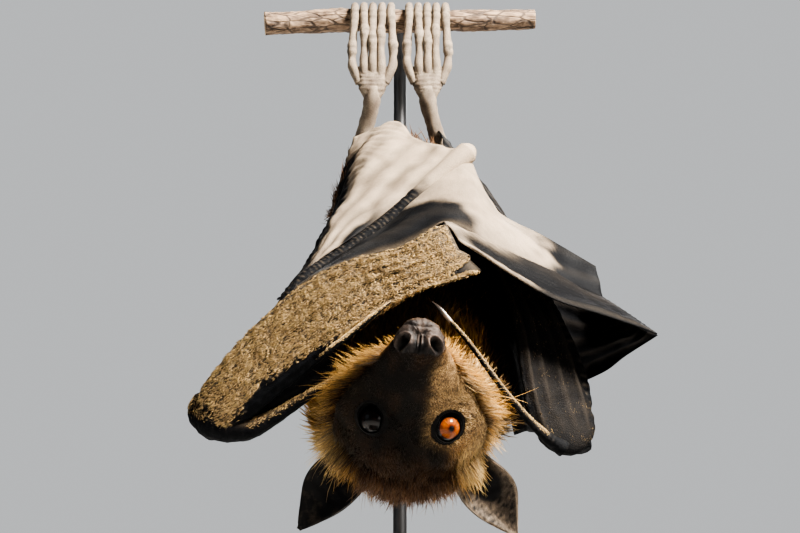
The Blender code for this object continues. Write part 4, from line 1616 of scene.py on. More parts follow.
HAND_OUT_RIGHT = [
    (80, -16, 253), (79.5, -15.5, 267), (75.5, -16, 281), (72, -16.5, 293), (67, -17, 307),
    (59, -17.5, 322), (50, -18, 336)
]
HAND_IN_RIGHT = [
    (62, -22, 246.5), (53, -26, 262), (49.5, -28.5, 281), (48, -28.5, 296), (45, -27, 312), (40, -25, 328),
    (36, -24, 338)
]
THUMB_LEFT = [
    (-81, -20, 273, 4.5), (-79.6, -23, 266, 7.0), (-72.5, -26, 260.5, 7.2), (-61.5, -29, 257.6, 4.6),
    (-50.6, -32, 261.6, 3.0), (-40.2, -35.5, 267.4, 2.2), (-31.3, -39, 271.8, 1.6), (-26.6, -41, 274.6, 0.9)
]
THUMB_RIGHT = [
    (66, -26, 250, 3.4), (58, -30.5, 254.5, 2.2), (50, -35, 261.4, 1.5), (40, -42, 271.6, 1.15),
    (28, -48.5, 286.8, 0.95), (21.5, -50.3, 294.4, 0.85), (19.2, -50.5, 296.8, 0.6)
]
DIGIT_TWO_LEFT = [
    (-34.0, -45.5, 280.5, 1.2), (-27.0, -50.3, 284.6, 1.2), (-19.5, -52.6, 289.8, 1.1),
    (-11.5, -54.8, 296.0, 0.95), (-3.6, -56.0, 302.1, 0.3)
]


def bone_patch(
    stations: Rail, rows: int, around: int, seed: int, bead: float = 1.0, tone: float = 0.6,
    fuzz: float = 0.0, bare: float = 0.0, pale: float = 2.0
) -> Patch:
    """Return a bone under thin skin, finely beaded by the rings of skin that bunch along it.

    Args:
        stations: Rows of x, y, z and radius.
        rows: Number of rings.
        around: Points in each ring.
        seed: Seed of its unevenness.
        bead: How strong the beads are.
        tone: How dark its skin is.
        fuzz: How much pale down it carries on its upper side.
        bare: How many millimetres of its first end stay bare.
        pale: The share of its run beyond which it is smooth and painted cream as sunlit.

    Returns:
        The closed bone with its fold, ridge and down values.
    """
    base = limb_grid(stations, rows, around, FRONT)
    run = run_of(base)[:, None]
    phase = run * 2.9 + 0.8 * grain(base, 12.0, seed)
    beyond = ease(run / run.max() + 0.008 * grain(base, 8.0, seed + 2), pale - 0.04, pale + 0.04)
    slow = 0.02 * np.sin(run * 0.9 + 1.0) + 0.025 * grain(base, 2.6, seed + 1)
    lump = (1 - beyond) * bead * 0.009 * np.sin(phase) + (1 - beyond) * slow
    grid = swell(base, 1.0 + lump)
    rel = unit(grid - grid.mean(axis=1, keepdims=True))
    lit = ease(rel[..., 2], -0.35, 0.35) * ease(-rel[..., 1], -0.6, 0.1)
    speck = ease(grain(base, 1.3, seed + 3), -0.2, 0.5)
    dots = bead * speck * bell(np.sin(phase), 1.0, 0.5) * ease(-rel[..., 1] + 0.6 * rel[..., 2], 0.2, 0.9)
    down = fuzz * lit * ease(run, bare, bare + 7.0)
    fold = np.clip(tone - 0.2 * np.sin(phase), 0, 1) * (1 - beyond)
    # The ridge value is painted light: glints on the beads and sunlight on the smooth end.
    ridge = np.clip(np.maximum(0.18 * dots * (1 - tone * 0.4), 0.95 * beyond), 0, 1)
    return closed_tube(grid, Skin.WING, fold=fold, ridge=ridge, fuzz=down)


def past_wrist(points: Array) -> Array:
    """Tell down from bare skin on the hands, with jagged lines between them.

    Args:
        points: Places in millimetres.

    Returns:
        0 on the bare wrists and along the outer hand's lower edge, and 1 beyond.
    """
    left = np.linalg.norm(points - np.array((-87.0, -25.0, 257.0)), axis=-1)
    hem_x = (-78.0, -67.0, -55.0, -41.0, -24.5, -14.0, -6.0)
    hem_z = (240.0, 259.0, 274.0, 281.5, 289.5, 291.0, 240.0)
    hem = np.interp(points[..., 0], hem_x, hem_z)
    low = ease(points[..., 2] - hem + 1.2 * grain(points, 1.8, 80), -1.0, 1.4)
    return ease(left + 1.6 * grain(points, 2.4, 79), 14.0, 16.0) * np.where(points[..., 0] < 0, low, 1.0)


@dataclass(frozen=True)
class HandBand:
    """The folded hand: metacarpals side by side under one skin, thick with short down."""

    upper: Rail
    lower: Rail
    half: tuple[float, ...]
    ridges: tuple[float, ...]
    rise: float
    down: float
    seed: int
    rows: int = 150
    around: int = 76
    lappets: tuple[Triple, ...] = ((0.0, 0.0, 1.0),)

    def shape(self) -> tuple[Array, Array, Array, Array]:
        """Return the rings, and for each point its place across, its front value and its height on a ridge.

        Each ridge is a bell exp(-((u - u0) / 0.055)^2) across the band, wandering along it. Each lappet
        moves the band's end on by another bell across it.
        """
        grid, place, normal = band_grid(self.upper, self.lower, self.half, self.rows, self.around, 9.0)
        run = np.linspace(0, 1, self.rows)[:, None]
        front = normal * np.sign(-normal[:, 1:2])
        middle = grid.mean(axis=1, keepdims=True)
        facing = ease(np.einsum("rcx,rx->rc", grid - middle, front), 0.2, 1.6)
        crest = np.zeros(place.shape)
        for k, at in enumerate(self.ridges):
            drift = 0.04 * np.sin(5 * run + k * 1.7) + 0.02 * np.sin(13 * run + k)
            crest += (0.75 + 0.25 * np.sin(2.3 * k + 1)) * bell(place - drift, at, 0.055)
        fade = ease(run, 0.06, 0.20)
        edge = 1.0 + 0.018 * grain(grid, 4.0, self.seed) * ease(np.abs(place), 0.6, 1.0)
        grid = swell(grid, edge)
        rough = 0.10 * grain(grid, 5.0, self.seed + 1) + 0.05 * grain(grid, 1.5, self.seed + 2)
        out = facing * fade * (self.rise * (crest - 0.25) + rough)
        grid = grid + front[:, None] * out[..., None]
        ahead = unit(np.gradient(grid.mean(axis=1), axis=0))
        points = sum(reach * bell(place, at, wide) for at, reach, wide in self.lappets)
        return (
            grid + ahead[:, None] * (points * ease(run, 0.80, 1.0) ** 2)[..., None], place, facing,
            crest * fade
        )

    def patch(self) -> Patch:
        """Return the closed hand with its down, ridge and fold values."""
        grid, place, facing, crest = self.shape()
        run = np.linspace(0, 1, self.rows)[:, None]
        crest = np.clip(crest, 0, 1)
        patchy = np.clip(0.85 + 0.3 * grain(grid, 9.0, self.seed + 3), 0, 1)
        notch = ease(run, 0.88, 0.95) * bell(place, -0.72, 0.16) * (len(self.lappets) > 1)
        downy = past_wrist(grid) * (1 - np.clip(notch, 0, 1))
        fuzz = self.down * facing * downy * patchy * (0.62 + 0.38 * crest)
        # Painted shade makes the hand near black between its crests and on the side away from the front;
        # painted highlight lines the crests through the ridge value.
        fold = np.clip(1 - facing * downy * (0.3 + 0.6 * crest) * self.down, 0, 1)
        ridge = (0.02 + 0.26 * self.down) * downy * facing * crest
        return closed_tube(grid, Skin.WING, fuzz=fuzz, fold=fold, ridge=ridge)


Paint = Callable[[Array, Array, Array], tuple[Array, Array, Array]]


def seam_after(rail: Rail, start: float) -> Array:
    """Return the part of a rail's curve beyond an x."""
    curve = smooth_path(rail, 400)
    return curve[curve[:, 0] > start][::6]


def elbow_fold_paint(grid: Array, along: Array, across: Array) -> tuple[Array, Array, Array]:
    """Paint sunlight as cream over the flap, a cast shadow as slate beside the forearm and under the
    knuckle, and dotted grey at the trailing corner.

    Args:
        grid: The membrane's points.
        along: Their places along it, from 0 to 1; not used.
        across: Their places across it, from 0 to 1.

    Returns:
        How much painted sunlight, how much painted shade and how much down each point has.
    """
    x = grid[..., 0]
    wander = grain(grid, 9.0, 201)
    patch = np.hypot(np.maximum(x - 5.0, 0) / 27.0, np.maximum(grid[..., 2] - 342.0, 0) / 19.0)
    lit_cream = ease(patch + 0.03 * wander, 0.90, 1.08) * ease(x + 2.5 * wander, 70.0, 56.0)
    # pit is a painted shadow, cast below the knuckle.
    pit = mound((x, 18.0, 14.0), (across, 0.45, 0.4))
    low = ease(across, 0.80, 0.97) * ease(x, -75.0, -55.0) * ease(x, 72.0, 45.0)
    mottle = 0.92 + 0.10 * grain(grid, 13.0, 204) + 0.05 * grain(grid, 2.5, 205)
    lit_cream = lit_cream * mottle * (1.0 - 0.35 * ease(x, 26.0, 60.0) * ease(across, 0.55, 0.1))
    # All that is not painted sunlight is painted shade.
    dark = np.clip(0.62 * (1 - lit_cream) + 0.3 * pit, 0, 1)
    return 0.95 * lit_cream * (0.9 - 0.25 * ease(across, 0.8, 1.0)), dark, 0.5 * low * (1 - lit_cream)


def fan_paint(grid: Array, along: Array, across: Array) -> tuple[Array, Array, Array]:
    """Paint sunlight on two ridges of fingers, pale near the knuckles, and painted shade as a black furrow
    between them and black beyond the knuckles.

    Args:
        grid: The membrane's points.
        along: Their places along it, from 0 to 1.
        across: Their places across it, from 0 to 1.

    Returns:
        How much painted sunlight, how much painted shade and how much down each point has.
    """
    past = ease(along, 0.30, 0.48)
    low = bell(across, 0.90 + 0.05 * past, 0.085 - 0.055 * past)
    high = bell(across, 0.24, 0.13)
    speck = 0.75 + 0.5 * ease(grain(grid, 1.1, 203), -0.2, 0.4)
    lit_cream = low * (0.05 + 0.95 * ease(along, 0.46, 0.28)) + high * (0.03 + 0.7 * ease(along, 0.42, 0.16))
    lit_cream = lit_cream * speck + 0.5 * ease(along, 0.12, 0.04)
    furrow = bell(across, 0.58, 0.24) * ease(along, 0.04, 0.16)
    # Painted shade: near black everywhere but the sunlit ridges, blackest in the furrow.
    dark = np.clip(0.75 + 0.25 * past + furrow - 0.3 * lit_cream, 0, 1)
    down = low * ease(along, 0.42, 0.25) + 0.6 * high * ease(along, 0.4, 0.2)
    return np.clip(lit_cream, 0, 1) * 0.75, dark, down


def tent_paint(grid: Array, along: Array, across: Array) -> tuple[Array, Array, Array]:
    """Paint sunlight as cream, with painted slate shade down its free edge and near the forearm's lower
    half.

    Args:
        grid: The membrane's points.
        along: Their places along it, from 0 to 1.
        across: Their places across it, from 0 to 1.

    Returns:
        How much painted sunlight, how much painted shade and how much down each point has.
    """
    wander = 0.04 * grain(grid, 10.0, 202)
    margin = np.interp(along, (0.05, 0.20, 0.35, 0.60, 0.85, 1.0), (0.0, 0.03, 0.12, 0.30, 0.40, 0.46))
    scallop = 0.045 * np.abs(np.sin(30 * along + 3 * wander)) + 0.3 * wander - margin
    edge = (
        np.maximum(ease(across + scallop, 0.165, 0.20), ease(along, 0.16, 0.05))
        * ease(along + wander, 1.02, 0.86)
    )
    near = 1 - ease(across + wander, 0.80, 0.92) * ease(along, 0.50, 0.74)
    edge = edge * (0.93 + 0.10 * grain(grid, 14.0, 206) + 0.04 * grain(grid, 2.5, 207))
    return 0.95 * edge * near, np.clip(0.95 * (1 - edge) + 0.45 * (1 - near), 0, 1), np.zeros(along.shape)


@dataclass(frozen=True)
class Membrane:
    """A wing membrane between rails, with folds that run along it and creases that run across.

    A fold is the wave sin(2 pi n v + drift), sharpened, of an amplitude that grows from the row where the
    folds gather.
    """

    rails: Sequence[Rail]
    rows: int
    cols: int
    folds: float
    rise: float
    gather: float
    seed: int
    cross: float = 0.0
    tone: float = 0.6
    paint: Paint | None = None
    thick: float = 0.55
    ribs: tuple[Triple, ...] = ()

    def shape(self) -> tuple[Array, Array, Array, Array]:
        """Return the grid, places along and across, and the folds' height.

        Each rib adds a bell of its height and width about its own place across.
        """
        grid, along, across = sheet_grid(self.rails, self.rows, self.cols)
        drift = 0.9 * grain(grid, 38.0, self.seed)
        wave = np.sin(2 * math.pi * self.folds * across + drift)
        sharp = np.sign(wave) * np.abs(wave) ** 0.8
        amount = self.rise * (0.25 + 0.75 * ease(along, self.gather, self.gather + 0.5))
        amount = amount * ease(across, 0.0, 0.08) * ease(across, 1.0, 0.92)
        creases = np.sin(along * 130.0 + 2.2 * grain(grid, 22.0, self.seed + 1))
        creases = self.cross * creases * ease(across, 0.62, 0.18)
        slow = 0.5 * grain(grid, 30.0, self.seed + 2) + 0.16 * grain(grid, 7.0, self.seed + 3)
        to_end = np.minimum(along, 1 - along)
        rim = ease(np.minimum(across, 1 - across), 0.0, 0.12) * ease(to_end, 0.0, 0.06)
        height = amount * sharp + creases + slow * rim * 0.8
        for place, rise, width in self.ribs:
            rib = rise * bell(across, place + 0.02 * np.sin(7 * along), width)
            height = height + rib * ease(to_end, 0.0, 0.12)
        return grid + towards_front(grid) * height[..., None], along, across, sharp

    def patch(self) -> Patch:
        """Return the closed membrane with its fold, ridge and down values."""
        grid, along, across, sharp = self.shape()
        plain = np.zeros((3, *along.shape))
        lit_cream, dark, down = self.paint(grid, along, across) if self.paint else plain
        valley = np.clip(-sharp, 0, 1) * min(1.0, self.rise)
        crest = np.clip(sharp, 0, 1) * min(1.0, self.rise)
        # Painted shade darkens the fold valleys and follows the sheet's tone; painted highlight lightens the
        # crests a little, and the paint's sunlight goes into the ridge value.
        fold = np.maximum(self.tone * (1 - lit_cream), dark) + 0.45 * valley
        fold = np.clip(fold + 0.1 * grain(grid, 12.0, self.seed + 4), 0, 1)
        ridge = np.clip(lit_cream * (1.0 - 0.55 * valley) + 0.06 * crest, 0, 1)
        return closed_sheet(grid, self.thick, Skin.WING, fold=fold, ridge=ridge, fuzz=np.clip(down, 0, 1))


LEFT_HAND = HandBand(
    HAND_TOP_LEFT, HAND_LOW_LEFT, (5.6, 3.6, 2.9, 2.5, 1.6), (-0.84, -0.52, -0.2, 0.15, 0.48, 0.8), 0.75,
    1.0, 61, 124, 78, ((-0.40, 4.5, 0.26), (-0.70, -6.0, 0.10), (-1.0, 7.5, 0.17))
)
# The inner hand carries little down, so it is painted near black: painted shade under the outer wing.
RIGHT_HAND = HandBand(
    HAND_OUT_RIGHT, HAND_IN_RIGHT, (4.0, 3.1, 2.7, 2.2), (-0.8, -0.3, 0.25, 0.72), 1.5, 0.10, 71, 76, 50
)

# A sheet's tone is how dark it is painted; the high tones on the tip, propatagia, inner sheet, thumb web and
# pocket are painted shade, where these sheets lie in shadow inside the folded wings.
MEMBRANES = {
    "left_elbow_fold": Membrane(
        [
            [(-66, -25, 284), (-55, -27, 305)] + FOREARM_LEFT[3:] + TRAIL_LEFT[1:],
            [
                (-69, -30, 284.5), (-58, -34.5, 297.5), (-44, -39.5, 312.5), (-22, -42, 328), (2, -43, 338),
                (30, -34, 352), (52, -18, 347), (70, -6, 340), (86, -3, 332)
            ],
            HAND_TOP_LEFT[1:-1] + [(20, -51, 339)] + FOLD_LEFT[1:],
        ],
        104, 26, 2.0, 0.20, 0.4, 81, tone=0.0, paint=elbow_fold_paint,
    ),
    "left_fingers": Membrane(
        [
            seam_after(HAND_TOP_LEFT[1:-1] + [(20, -51, 339)] + FOLD_LEFT[1:], 17.5),
            [(21, -52.5, 335), (36, -48.5, 329), (50, -42, 324), (68, -33, 317.5), (97, -17, 311)],
            DIGIT_LEFT
        ],
        66, 38, 11.0, 0.10, -0.2, 82, tone=0.0, paint=fan_paint,
        ribs=((0.90, 1.3, 0.07), (0.24, 1.1, 0.11), (0.58, -1.1, 0.16)),
    ),
    "left_tip": Membrane(
        [
            [(88, -3, 322), (86, 6, 326), (78, 16, 334), (64, 23, 342), (48, 27, 347)],
            [(98, -14, 309), (92, -4, 308), (83, 9, 311), (67, 18, 315), (48, 25, 320)],
            TIP_LEFT,
        ],
        44, 24, 6.0, 0.5, -0.2, 83, tone=1.0,
    ),
    "left_arm": Membrane(
        [
            [(-22, 44, 424), (-26, 44, 409), (-29, 41, 392), (-33, 33, 370), (-42, 14, 345), (-53, 2, 325)],
            [(-2, 34, 427), (-13, 26, 412), (-19, 17, 395), (-25, 8, 374), (-34, -6, 348), (-44, -14, 328)],
            [(7, 23, 413), (9, 11, 401), (4, -1, 386), (-6, -9, 369), (-20, -15, 350), (-37, -20.5, 332)],
            [
                (22, 5, 399), (26, -5, 393), (16, -9, 382), (2, -12, 368), (-14, -15.5, 352),
                (-34, -20.5, 335)
            ],
        ],
        92, 54, 5.0, 0.42, -0.1, 84, cross=0.42, tone=0.0, paint=tent_paint,
    ),
    "left_propatagium": Membrane(
        [
            [(-70, -17, 274), (-58, -22, 299), (-48, -21, 319), (-39, -17, 332)],
            [(-76, -12, 277), (-60, -8, 297), (-52, 0, 316), (-46.5, 5, 333)],
            [(-70, -14, 268), (-56, 2, 285), (-46, 13, 306), (-38, 20, 337)],
        ],
        30, 16, 3.0, 0.5, 0.0, 85, tone=0.8,
    ),
    "right_arm": Membrane(
        [
            [(18, 52, 432), (30, 46, 410), (38, 41, 384), (44, 31, 350), (49, 24, 320), (54, 18, 300)],
            [(20, 32, 417), (33, 25, 398), (46, 21, 374), (57, 14, 342), (65, 8, 314), (69, 4, 292)],
            [(20, 17, 400), (33, 9, 382), (47, 5, 364), (60, 2.5, 336), (71, -2, 308), (76, -7, 286)],
        ],
        60, 28, 5.0, 0.7, 0.0, 86, cross=0.25, tone=0.7,
    ),
    "right_propatagium": Membrane(
        [
            [(74, -11, 272), (75, -6, 286), (70, 0, 306)],
            [(66, -4, 266), (65, 2, 282), (61, 8, 302)],
            [(58, -1, 264), (55, 8, 281), (52, 17, 302)],
        ],
        24, 16, 3.0, 0.4, 0.0, 87, tone=0.8,
    ),
    "right_inner": Membrane(
        [
            [
                (56, -22.5, 258), (52.5, -24, 278), (50, -24, 295), (47, -23, 311), (42, -21, 327),
                (36, -18, 345)
            ],
            [
                (54, -10, 262), (51.5, -11, 280), (48.5, -10, 297), (45, -8, 314), (41, -6, 332),
                (37, -4, 347)
            ],
            [(53, 2, 266), (50.5, 3, 283), (47.5, 5, 300), (44, 8, 317), (41, 10, 334), (38.5, 12, 348)],
            [(49, 14, 268), (46, 16, 284), (42, 18, 301), (39, 20, 318), (37, 22, 335), (35, 24, 349)],
        ],
        42, 22, 3.0, 0.4, 0.0, 88, tone=1.0,
    ),
    "left_thumb_web": Membrane(
        [
            [(-70, -29.5, 263), (-58, -34, 268), (-46, -39, 275), (-35, -43.5, 281.5), (-24, -47.5, 288)],
            [(-70, -26, 259), (-58, -29, 261.5), (-47, -32.5, 265.5), (-38, -36, 270), (-29, -39.5, 274.5)],
        ],
        36, 12, 2.0, 0.2, 0.0, 89, tone=1.0,
    ),
    "pocket": Membrane(
        [
            [(36, -19, 342), (37, -4, 344), (38.5, 12, 345), (35, 26, 346)],
            [(33, -24, 354), (33, -6, 366), (34, 8, 372), (33, 26, 378)],
        ],
        16, 12, 1.0, 0.2, 0.0, 90, tone=1.0,
    ),
}


def wing_patches() -> list[Patch]:
    """Return both wings' flesh: bones, hands, thumbs and membranes."""
    sizes = (3.0, 2.9, 3.2, 4.0, 4.9)
    forearm = [
        (-74, -14, 266, 4.6), (-63.5, -17.5, 285, 4.2), (-53, -22, 304, 3.4),
        *((*place, size) for place, size in zip(FOREARM_LEFT[3:], sizes)),
        (30.4, -8.7, 391.4, 4.1), (32.0, -8.5, 392.9, 2.4), (32.6, -8.4, 393.5, 0.4),
    ]
    inner = [FOREARM_RIGHT[k] for k in (0, 1, 3, 4, 5)]
    bones = [
        bone_patch(forearm, 260, 24, 51, tone=0.85, pale=0.81),
        bone_patch(
            [(-36, 8, 314, 7.5), (-20, 4, 334, 7.1), (6, 3, 363, 6.7), (27, -1, 388, 6.0)], 30, 14, 52
        ),
        bone_patch([(*place, size) for place, size in zip(inner, (6.5, 4.9, 4.7, 5.0, 4.7))], 110, 14, 53),
        bone_patch(
            [(35, 9, 314, 7.5), (31, 10, 338, 6.5), (24, 13, 366, 5.7), (17, 16, 387, 5.1)], 26, 12, 54
        ),
        bone_patch(THUMB_LEFT, 84, 20, 55, bead=0.3, tone=0.95, fuzz=0.75, bare=24.0),
        bone_patch(THUMB_RIGHT, 74, 14, 56, bead=0.3, tone=0.8, fuzz=0.8, bare=8.0),
        bone_patch(DIGIT_TWO_LEFT, 40, 12, 57, bead=0.2, tone=0.5, fuzz=0.9),
    ]
    return bones + [LEFT_HAND.patch(), RIGHT_HAND.patch()] + [m.patch() for m in MEMBRANES.values()]


def thumb_claw(base: Sequence[float], bend: Sequence[float], point: Sequence[float]) -> Patch:
    """Return a thumb's claw through three places."""
    stations = [(*base, 0.75, 1.05), (*bend, 0.6, 0.85), (*point, 0.07, 0.08)]
    return claw_patch(stations, 26, 12, FRONT)


# ---------------------------------------------------------------- the coat

PIECE_TRIANGLES = 196000
Field = Callable[[Array], Array]


def steady(value: float) -> Field:
    """Return a field that has one value everywhere."""

    def same(points: Array) -> Array:
        """Return the value for each point."""
        return np.full(points.shape[:-1], value)

    return same


@dataclass(frozen=True)
class Pelt:
    """Fur on one wrapped surface: where it roots and how it grows.

    Density, length and lift are fields over the skin. Lift is the angle in radians between a tuft's root and
    the skin; its tip bends back towards the lay by droop. The lay is 1 along the surface's rows and -1
    against them.
    """

    name: str
    count: int
    density: Field
    length: Field
    lift: Field
    width: float
    seed: int
    slot: Finish
    grid: Array
    lay: float = 1.0
    droop: float = 0.35
    stray: float = 0.22
    masks: Callable[[Array], dict[str, Array]] = markings
    fine: bool = False
    vary: float = 0.22
    clump: float = 1.0
    uneven: float = 0.16

    def roots(self) -> tuple[Array, Array, Array, Array]:
        """Choose roots by area and density.

        Returns:
            Their places, the skin's outward normals, its lay and their coordinates on its unwrap.
        """
        rng = np.random.default_rng(self.seed)
        normals = grid_normals(self.grid, True) * outward_sign(self.grid, True)
        lays = unit(np.gradient(self.grid, axis=0)) * self.lay
        grid, normals, lays = (np.concatenate([v, v[:, :1]], axis=1) for v in (self.grid, normals, lays))
        a, b, c, d = grid[:-1, :-1], grid[:-1, 1:], grid[1:, 1:], grid[1:, :-1]
        area = 0.5 * np.linalg.norm(np.cross(c - a, d - b), axis=-1)
        middle = (a + b + c + d) / 4
        weight = area * np.maximum(self.density(middle) * self.shown(normals[:-1, :-1]), 0.0)
        chosen = rng.choice(weight.size, self.count, p=(weight / weight.sum()).ravel())
        row, col = np.divmod(chosen, weight.shape[1])
        s, t = rng.uniform(0, 1, (2, self.count, 1))

        def between(values: Array) -> Array:
            """Blend the grid's values inside the chosen cells.

            Args:
                values: One row for each point of the grid.

            Returns:
                One row for each root.
            """
            low = values[row, col] * (1 - t) + values[row, col + 1] * t
            high = values[row + 1, col] * (1 - t) + values[row + 1, col + 1] * t
            return low * (1 - s) + high * s

        rows, cols = weight.shape
        coords = np.concatenate([(col[:, None] + t) / cols, (row[:, None] + s) / rows], axis=1)
        return between(grid), unit(between(normals)), unit(between(lays)), coords

    def shown(self, facing: Array) -> Array:
        """Return how much of the fur is wanted where the skin faces a way; all of it here."""
        return np.ones(facing.shape[:-1])

    def patches(self) -> list[tuple[Patch, Array]]:
        """Grow the tufts in lots small enough for one piece each.

        Each tuft is a flat three-sided spike along p(t) = root + L (d0 t + (d1 - d0) t^2 / 2).

        Returns:
            Closed patches and the coordinates of their points on the skin's unwrap.
        """
        rng = np.random.default_rng(self.seed + 1)
        root, normal, lay, coords = self.roots()
        count = len(root)
        side = unit(np.cross(normal, lay))
        swirl = 0.30 * self.clump * grain(root, 11.0, self.seed + 2) + rng.normal(0, self.stray, count)
        lay = unit(lay * np.cos(swirl)[:, None] + side * np.sin(swirl)[:, None])
        for eye in HEAD.eyes:
            lay = unit(lay + 2.2 * eye_swirl(eye, root))
        lay = unit(lay - normal * (lay * normal).sum(1, keepdims=True))
        side = unit(np.cross(normal, lay))
        lift = (
            self.lift(root) + rng.normal(0, 0.10, count)
            + 0.10 * self.clump * grain(root, 7.0, self.seed + 3)
        )
        end = lift - self.droop + rng.normal(0, 0.12, count)
        clump = self.clump * grain(root, 4.5, self.seed + 4)
        size = self.length(root) * np.exp(rng.normal(0, self.uneven, count)) * (1.0 + 0.08 * clump)
        start, finish = (lay * np.cos(v)[:, None] + normal * np.sin(v)[:, None] for v in (lift, end))
        finish = unit(finish + side * rng.normal(0, 0.20, (count, 1)))
        share = np.clip(size / np.maximum(self.length(root), 0.1), 0.7, 1.2)
        wide = self.width * rng.uniform(0.75, 1.25, count) * share
        sunk = root - normal * ((0.12 if self.fine else 0.25) + 0.04 * size)[:, None]
        values = self.masks(root)
        values["vary"] = np.clip(0.5 + 0.20 * clump + rng.normal(0, self.vary, count), 0, 1)
        steps, shares = ((0.0, 0.5), (1.0, 0.85)) if self.fine else ((0.0, 0.38, 0.74), (1.0, 0.86, 0.52))
        corners = [(math.cos(k * math.pi / 6), math.sin(k * math.pi / 6)) for k in (3, 7, 11)]
        points, tips, spots = [], [], []
        for t, share in zip(steps, shares):
            middle = sunk + size[:, None] * (start * t + (finish - start) * t * t / 2)
            heading = unit(start * (1 - t) + finish * t)
            up = np.cross(heading, side)
            for x, y in corners:
                points.append(middle + (side * x + up * 0.62 * y) * (wide * share)[:, None])
                tips.append(np.full(count, t))
                spots.append(coords + 0.0015 * (1 - 0.9 * t) * np.array((x, y)))
        points.append(sunk + size[:, None] * (start + (finish - start) / 2))
        tips.append(np.ones(count))
        spots.append(coords)
        points, tips, spots = np.stack(points, 1), np.stack(tips, 1), np.stack(spots, 1)
        shape, size_of_tuft = tuft_faces(len(steps)), 3 * len(steps) + 1
        lots = []
        lot = PIECE_TRIANGLES // (6 * len(steps) - 2)
        for first in range(0, count, lot):
            part = slice(first, min(first + lot, count))
            offsets = size_of_tuft * np.arange(part.stop - first)[:, None, None]
            patch = Patch(points[part].reshape(-1, 3), (shape[None] + offsets).reshape(-1, 4))
            carried = {name: np.repeat(value[part], size_of_tuft) for name, value in values.items()}
            patch.with_values(tip=tips[part].reshape(-1), **carried)
            lots.append((patch, spots[part].reshape(-1, 2)))
        return lots


def tuft_faces(rings: int) -> Array:
    """List one tuft's faces: a root cap, bands of three quads between its rings, and three to the tip.

    Args:
        rings: How many rings of three points it has below its tip.

    Returns:
        Four corner indices for each face.
    """
    faces = [[2, 1, 0, 0]]
    for ring in range(0, 3 * (rings - 1), 3):
        for k in range(3):
            n = (k + 1) % 3
            faces.append([ring + k, ring + n, ring + 3 + n, ring + 3 + k])
    last = 3 * (rings - 1)
    faces += [[last + k, last + (k + 1) % 3, last + 3, last + 3] for k in range(3)]
    return np.asarray(faces)


def eye_swirl(eye: Eye, points: Array) -> Array:
    """Part the fur round an eye.

    Args:
        eye: The eye.
        points: The tufts' roots.

    Returns:
        Directions away from it, fading out 13 mm from its gaze line.
    """
    reach, height, _ = eye.polar(points)
    rel = points - eye.centre
    gaze = eye.axes[0]
    flat = unit(rel - (rel @ gaze)[..., None] * gaze)
    return flat * (ease(reach, 13.0, 7.5) * (height > -3))[..., None]


def clear_of_eyes(points: Array) -> Array:
    """Keep fur off the eyes.

    Args:
        points: Places on the skin.

    Returns:
        1 away from the eyes and 0 on the lids.
    """
    amount = np.ones(points.shape[:-1])
    for eye in HEAD.eyes:
        reach, height, _ = eye.polar(points)
        amount *= np.where(height > -3, ease(reach, 6.0, 6.6), 1.0)
    return amount


def face_density(points: Array) -> Array:
    """Thin out the face's short fur where it ends.

    Args:
        points: Places on the skin.

    Returns:
        Its density.
    """
    f, h, _ = head_axes(points)
    tip = ease(f, 65.5, 68.5) * ease(h, 6.5, 4.5) * ease(h, -7.2, -5.2)
    return clear_of_eyes(points) * ease(f, 10.0, 15.0) * (1.0 - tip) * (1.0 + 1.6 * ease(f, 40.0, 58.0))


def face_length(points: Array) -> Array:
    """Lengthen the face's fur away from the nose.

    Args:
        points: Places on the skin.

    Returns:
        Millimetres: under 1 at the nose and 4 on crown and cheek.
    """
    f = head_axes(points)[0]
    reach = np.minimum(*(eye.polar(points)[0] for eye in HEAD.eyes))
    base = 0.85 + 1.5 * ease(f, 60.0, 38.0) + 1.9 * ease(f, 34.0, 14.0)
    return base * (0.55 + 0.45 * ease(reach, 7.5, 13.0))


def face_lift(points: Array) -> Array:
    """Return the face fur's lift, which rises towards the cheeks."""
    return 0.28 + 0.35 * ease(head_axes(points)[0], 30.0, 12.0)


def fringe_density(points: Array) -> Array:
    """Thin out the long hair that rings the face, rooted on cheeks and throat.

    Args:
        points: Places on the skin.

    Returns:
        Its density.
    """
    f, h, _ = head_axes(points)
    above = h - middle_height(f)
    under = ease(above, 1.0, -2.5) * ease(f, 63.0, 50.0) * (0.35 + 1.1 * ease(above, -16.0, -9.0))
    return clear_of_eyes(points) * ease(f, -4.0, 1.0) * np.maximum(under, ease(f, 22.0, 14.0))


def fringe_length(points: Array) -> Array:
    """Return the fringe's length: longest at the sides, shorter over the crown and by the mouth."""
    f, h, _ = head_axes(points)
    return (
        (4.2 + 2.8 * ease(f, 66.0, 56.0) + 3.2 * ease(f, 60.0, 24.0)) * (1.0 - 0.45 * ease(h, 20.0, 33.0))
    )


def mantle_density(points: Array) -> Array:
    """Return the density of the mantle, on the neck and shoulders."""
    z = points[..., 2]
    return ease(z, 255.0, 258.0) * ease(z, 318.0, 298.0)


def back_density(points: Array) -> Array:
    """Thin out the fur over chest and back where the wings cover it in front.

    Args:
        points: Places on the skin.

    Returns:
        Its density.
    """
    x, y, z = (points[..., k] for k in range(3))
    middle = np.interp(z, (254, 302, 357, 402, 427), (-12, 3, 31, 44, 48))
    shown = 1.0 - ease(x, -8.0, -16.0) * ease(z, 345.0, 365.0) * ease(y, 40.0, 34.0)
    thick = 0.15 + 0.85 * ease(y - middle, -6.0, 2.0) + 0.75 * ease(z, 345.0, 318.0)
    return shown * ease(z, 292.0, 308.0) * ease(z, 428.0, 416.0) * thick


